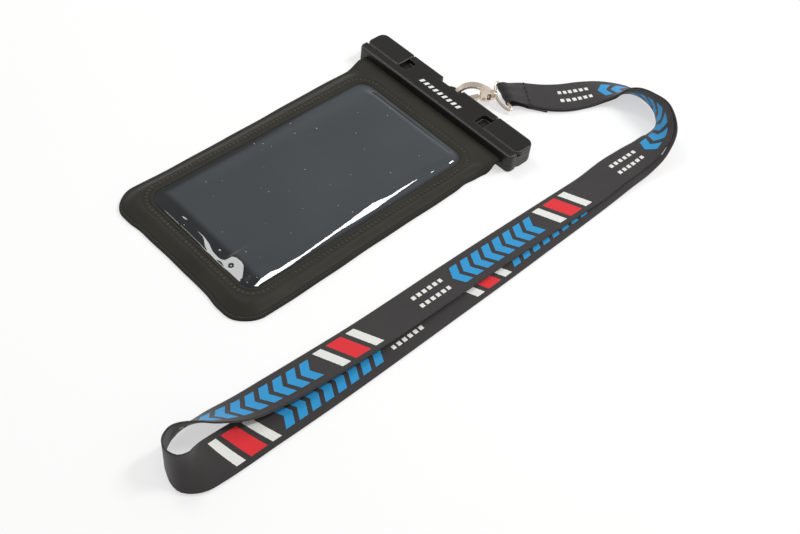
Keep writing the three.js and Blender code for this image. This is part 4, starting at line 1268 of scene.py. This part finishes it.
class PouchSizes(bpy.types.PropertyGroup):
    """Sizes of the soft pieces and their details"""

    strap_width: length_setting("Strap width", "Width of the lanyard", 20)
    strap_thickness: length_setting("Strap thickness", "Thickness of the lanyard", 0.9)
    print_repeat: length_setting("Print repeat", "Length of one repeat of the print", 149)
    print_start: length_setting("Print start", "Where the first repeat starts on the strip", 21)
    back_dashes: length_setting("Back dashes", "From the sewing to the start of the back's dashes", 38)
    rib_pitch: length_setting("Rib pitch", "Distance between the ribs of the window's weld", 2.5)
    rim_pitch: length_setting("Rim pitch", "Distance between the ribs of the rim's weld", 1.3)


class PouchStudio(bpy.types.PropertyGroup):
    """Lamps of the stage"""

    key_power: FloatProperty(name="Key lamp", description="Its power", default=4.0, unit="POWER")
    fill_power: FloatProperty(name="Fill lamp", description="Its power", default=2.2, unit="POWER")
    sky: FloatProperty(name="Sky", description="Strength of the even light", default=0.6)


def finish_of(name, make):
    """A finish by its name, made the first time it is asked for."""
    return bpy.data.materials.get(name) or make()


def pin_steel(colours):
    """The steel of the pins and the spring."""
    return finish_of("pin_steel", lambda: metal_finish("pin_steel", list(colours.steel), 0.2, 0.00001))


def dress_node(node, material):
    """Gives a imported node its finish."""
    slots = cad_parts[node].data.materials
    slots.clear()
    slots.append(material)
    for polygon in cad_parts[node].data.polygons:
        polygon.material_index = 0


class POUCH_OT_stage(bpy.types.Operator):
    """Floor, lamps, sky and the photograph's camera"""

    bl_idname = "pouch.stage"
    bl_label = "Stage"

    def execute(self, context):
        scene = context.scene
        studio = scene.pouch_studio
        photo_camera(scene)
        studio_lamps((studio.key_power, studio.fill_power))
        even_sky(scene, studio.sky)
        pale_floor(list(scene.pouch_colours.floor))
        scene.view_settings.view_transform = "Standard"
        return {"FINISHED"}


class POUCH_OT_lanyard(bpy.types.Operator):
    """Printed lanyard and its sewing"""

    bl_idname = "pouch.lanyard"
    bl_label = "Lanyard"

    def execute(self, context):
        colours, sizes = context.scene.pouch_colours, context.scene.pouch_sizes
        strip, run, sewn = lay_strip(sizes.strap_width / MM / 2)
        webbing = finish_of("printed_webbing", lambda: webbing_finish(colours, sizes, float(run[sewn])))
        thread = finish_of("sewing_thread", thread_finish)
        strap, sewing = lanyard(strip, run, sewn, webbing, thread, sizes.strap_thickness / MM)
        for piece in (strap, sewing):
            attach(piece, "lanyard")
        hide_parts("lanyard_strap")
        return {"FINISHED"}


class POUCH_OT_sheets(bpy.types.Operator):
    """Front and back sheets with the ribs of their welds"""

    bl_idname = "pouch.sheets"
    bl_label = "Sheets"

    def execute(self, context):
        colours, sizes = context.scene.pouch_colours, context.scene.pouch_sizes
        pvc = finish_of("calendered_pvc", lambda: pvc_finish(colours))
        rib = finish_of("pressed_weld_rib", lambda: rib_finish(colours))
        front = front_sheet(pvc)
        back = back_sheet(pvc)
        ladder = window_ribs(rib, sizes.rib_pitch / MM)
        rim = rim_ribs(rib, sizes.rim_pitch / MM)
        for piece, node in ((front, "front_panel"), (back, "back_panel"), (ladder, None), (rim, None)):
            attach(piece, "pouch")
            if node:
                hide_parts(node)
        return {"FINISHED"}


class POUCH_OT_window(bpy.types.Operator):
    """Clear film of the window"""

    bl_idname = "pouch.window"
    bl_label = "Window"

    def execute(self, context):
        colours = context.scene.pouch_colours
        film = window_film(finish_of("clear_window_film", lambda: film_finish(colours)))
        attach(film, "pouch")
        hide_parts("window_film")
        return {"FINISHED"}


class POUCH_OT_clamp(bpy.types.Operator):
    """Jaws, levers, pins, seal and the marks on the bar"""

    bl_idname = "pouch.clamp"
    bl_label = "Clamp"

    def execute(self, context):
        colours = context.scene.pouch_colours
        abs_black = plastic_finish("moulded_abs", list(colours.clamp), 0.00002, 0.35)
        lever_black = plastic_finish("lever_abs", scaled(colours.clamp, 0.9), 0.000015, 0.38)
        steel = pin_steel(colours)
        for node in ("rear_jaw", "front_jaw"):
            dress_node(node, abs_black)
        for node in ("left_lever", "right_lever"):
            dress_node(node, lever_black)
        for node in ("left_lever_pin", "right_lever_pin"):
            dress_node(node, steel)
        dress_node("seal_strip", rubber_finish())
        marks = bar_marks(ink_finish(colours))
        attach(marks, "pouch")
        return {"FINISHED"}


class POUCH_OT_clasp(bpy.types.Operator):
    """Hook, gate, pin, spring and swivel ring"""

    bl_idname = "pouch.clasp"
    bl_label = "Clasp"

    def execute(self, context):
        colours = context.scene.pouch_colours
        nickel = metal_finish("satin_nickel", list(colours.nickel), 0.22, 0.000003)
        steel = pin_steel(colours)
        for node in ("clasp_hook", "clasp_gate"):
            dress_node(node, nickel)
        ring = lanyard_ring(nickel)
        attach(ring, "lanyard")
        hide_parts("swivel_ring")
        for node in ("gate_pin", "gate_spring"):
            dress_node(node, steel)
        return {"FINISHED"}


STEPS = (POUCH_OT_stage, POUCH_OT_lanyard, POUCH_OT_sheets, POUCH_OT_window, POUCH_OT_clamp, POUCH_OT_clasp)


class POUCH_PT_pieces(bpy.types.Panel):
    """Pieces of the pouch"""

    bl_idname = "POUCH_PT_pieces"
    bl_label = "Phone pouch"
    bl_space_type = "VIEW_3D"
    bl_region_type = "UI"
    bl_category = "Pouch"

    def draw(self, context):
        scene = context.scene
        for step in STEPS:
            self.layout.operator(step.bl_idname)
        for settings in (scene.pouch_colours, scene.pouch_sizes, scene.pouch_studio):
            box = self.layout.box()
            for name in settings.__annotations__:
                box.prop(settings, name)


CLASSES = (PouchColours, PouchSizes, PouchStudio, *STEPS, POUCH_PT_pieces)


def register():
    """Registers the classes and hangs the settings on the scene."""
    for kind in CLASSES:
        bpy.utils.register_class(kind)
    bpy.types.Scene.pouch_colours = PointerProperty(type=PouchColours)
    bpy.types.Scene.pouch_sizes = PointerProperty(type=PouchSizes)
    bpy.types.Scene.pouch_studio = PointerProperty(type=PouchStudio)


def unregister():
    """Takes the settings and the classes away again."""
    del bpy.types.Scene.pouch_studio
    del bpy.types.Scene.pouch_sizes
    del bpy.types.Scene.pouch_colours
    for kind in reversed(CLASSES):
        bpy.utils.unregister_class(kind)


def main():
    register()
    for step in (
        bpy.ops.pouch.stage,
        bpy.ops.pouch.lanyard,
        bpy.ops.pouch.sheets,
        bpy.ops.pouch.window,
        bpy.ops.pouch.clamp,
        bpy.ops.pouch.clasp,
    ):
        step()


if __name__ == "__main__":
    main()
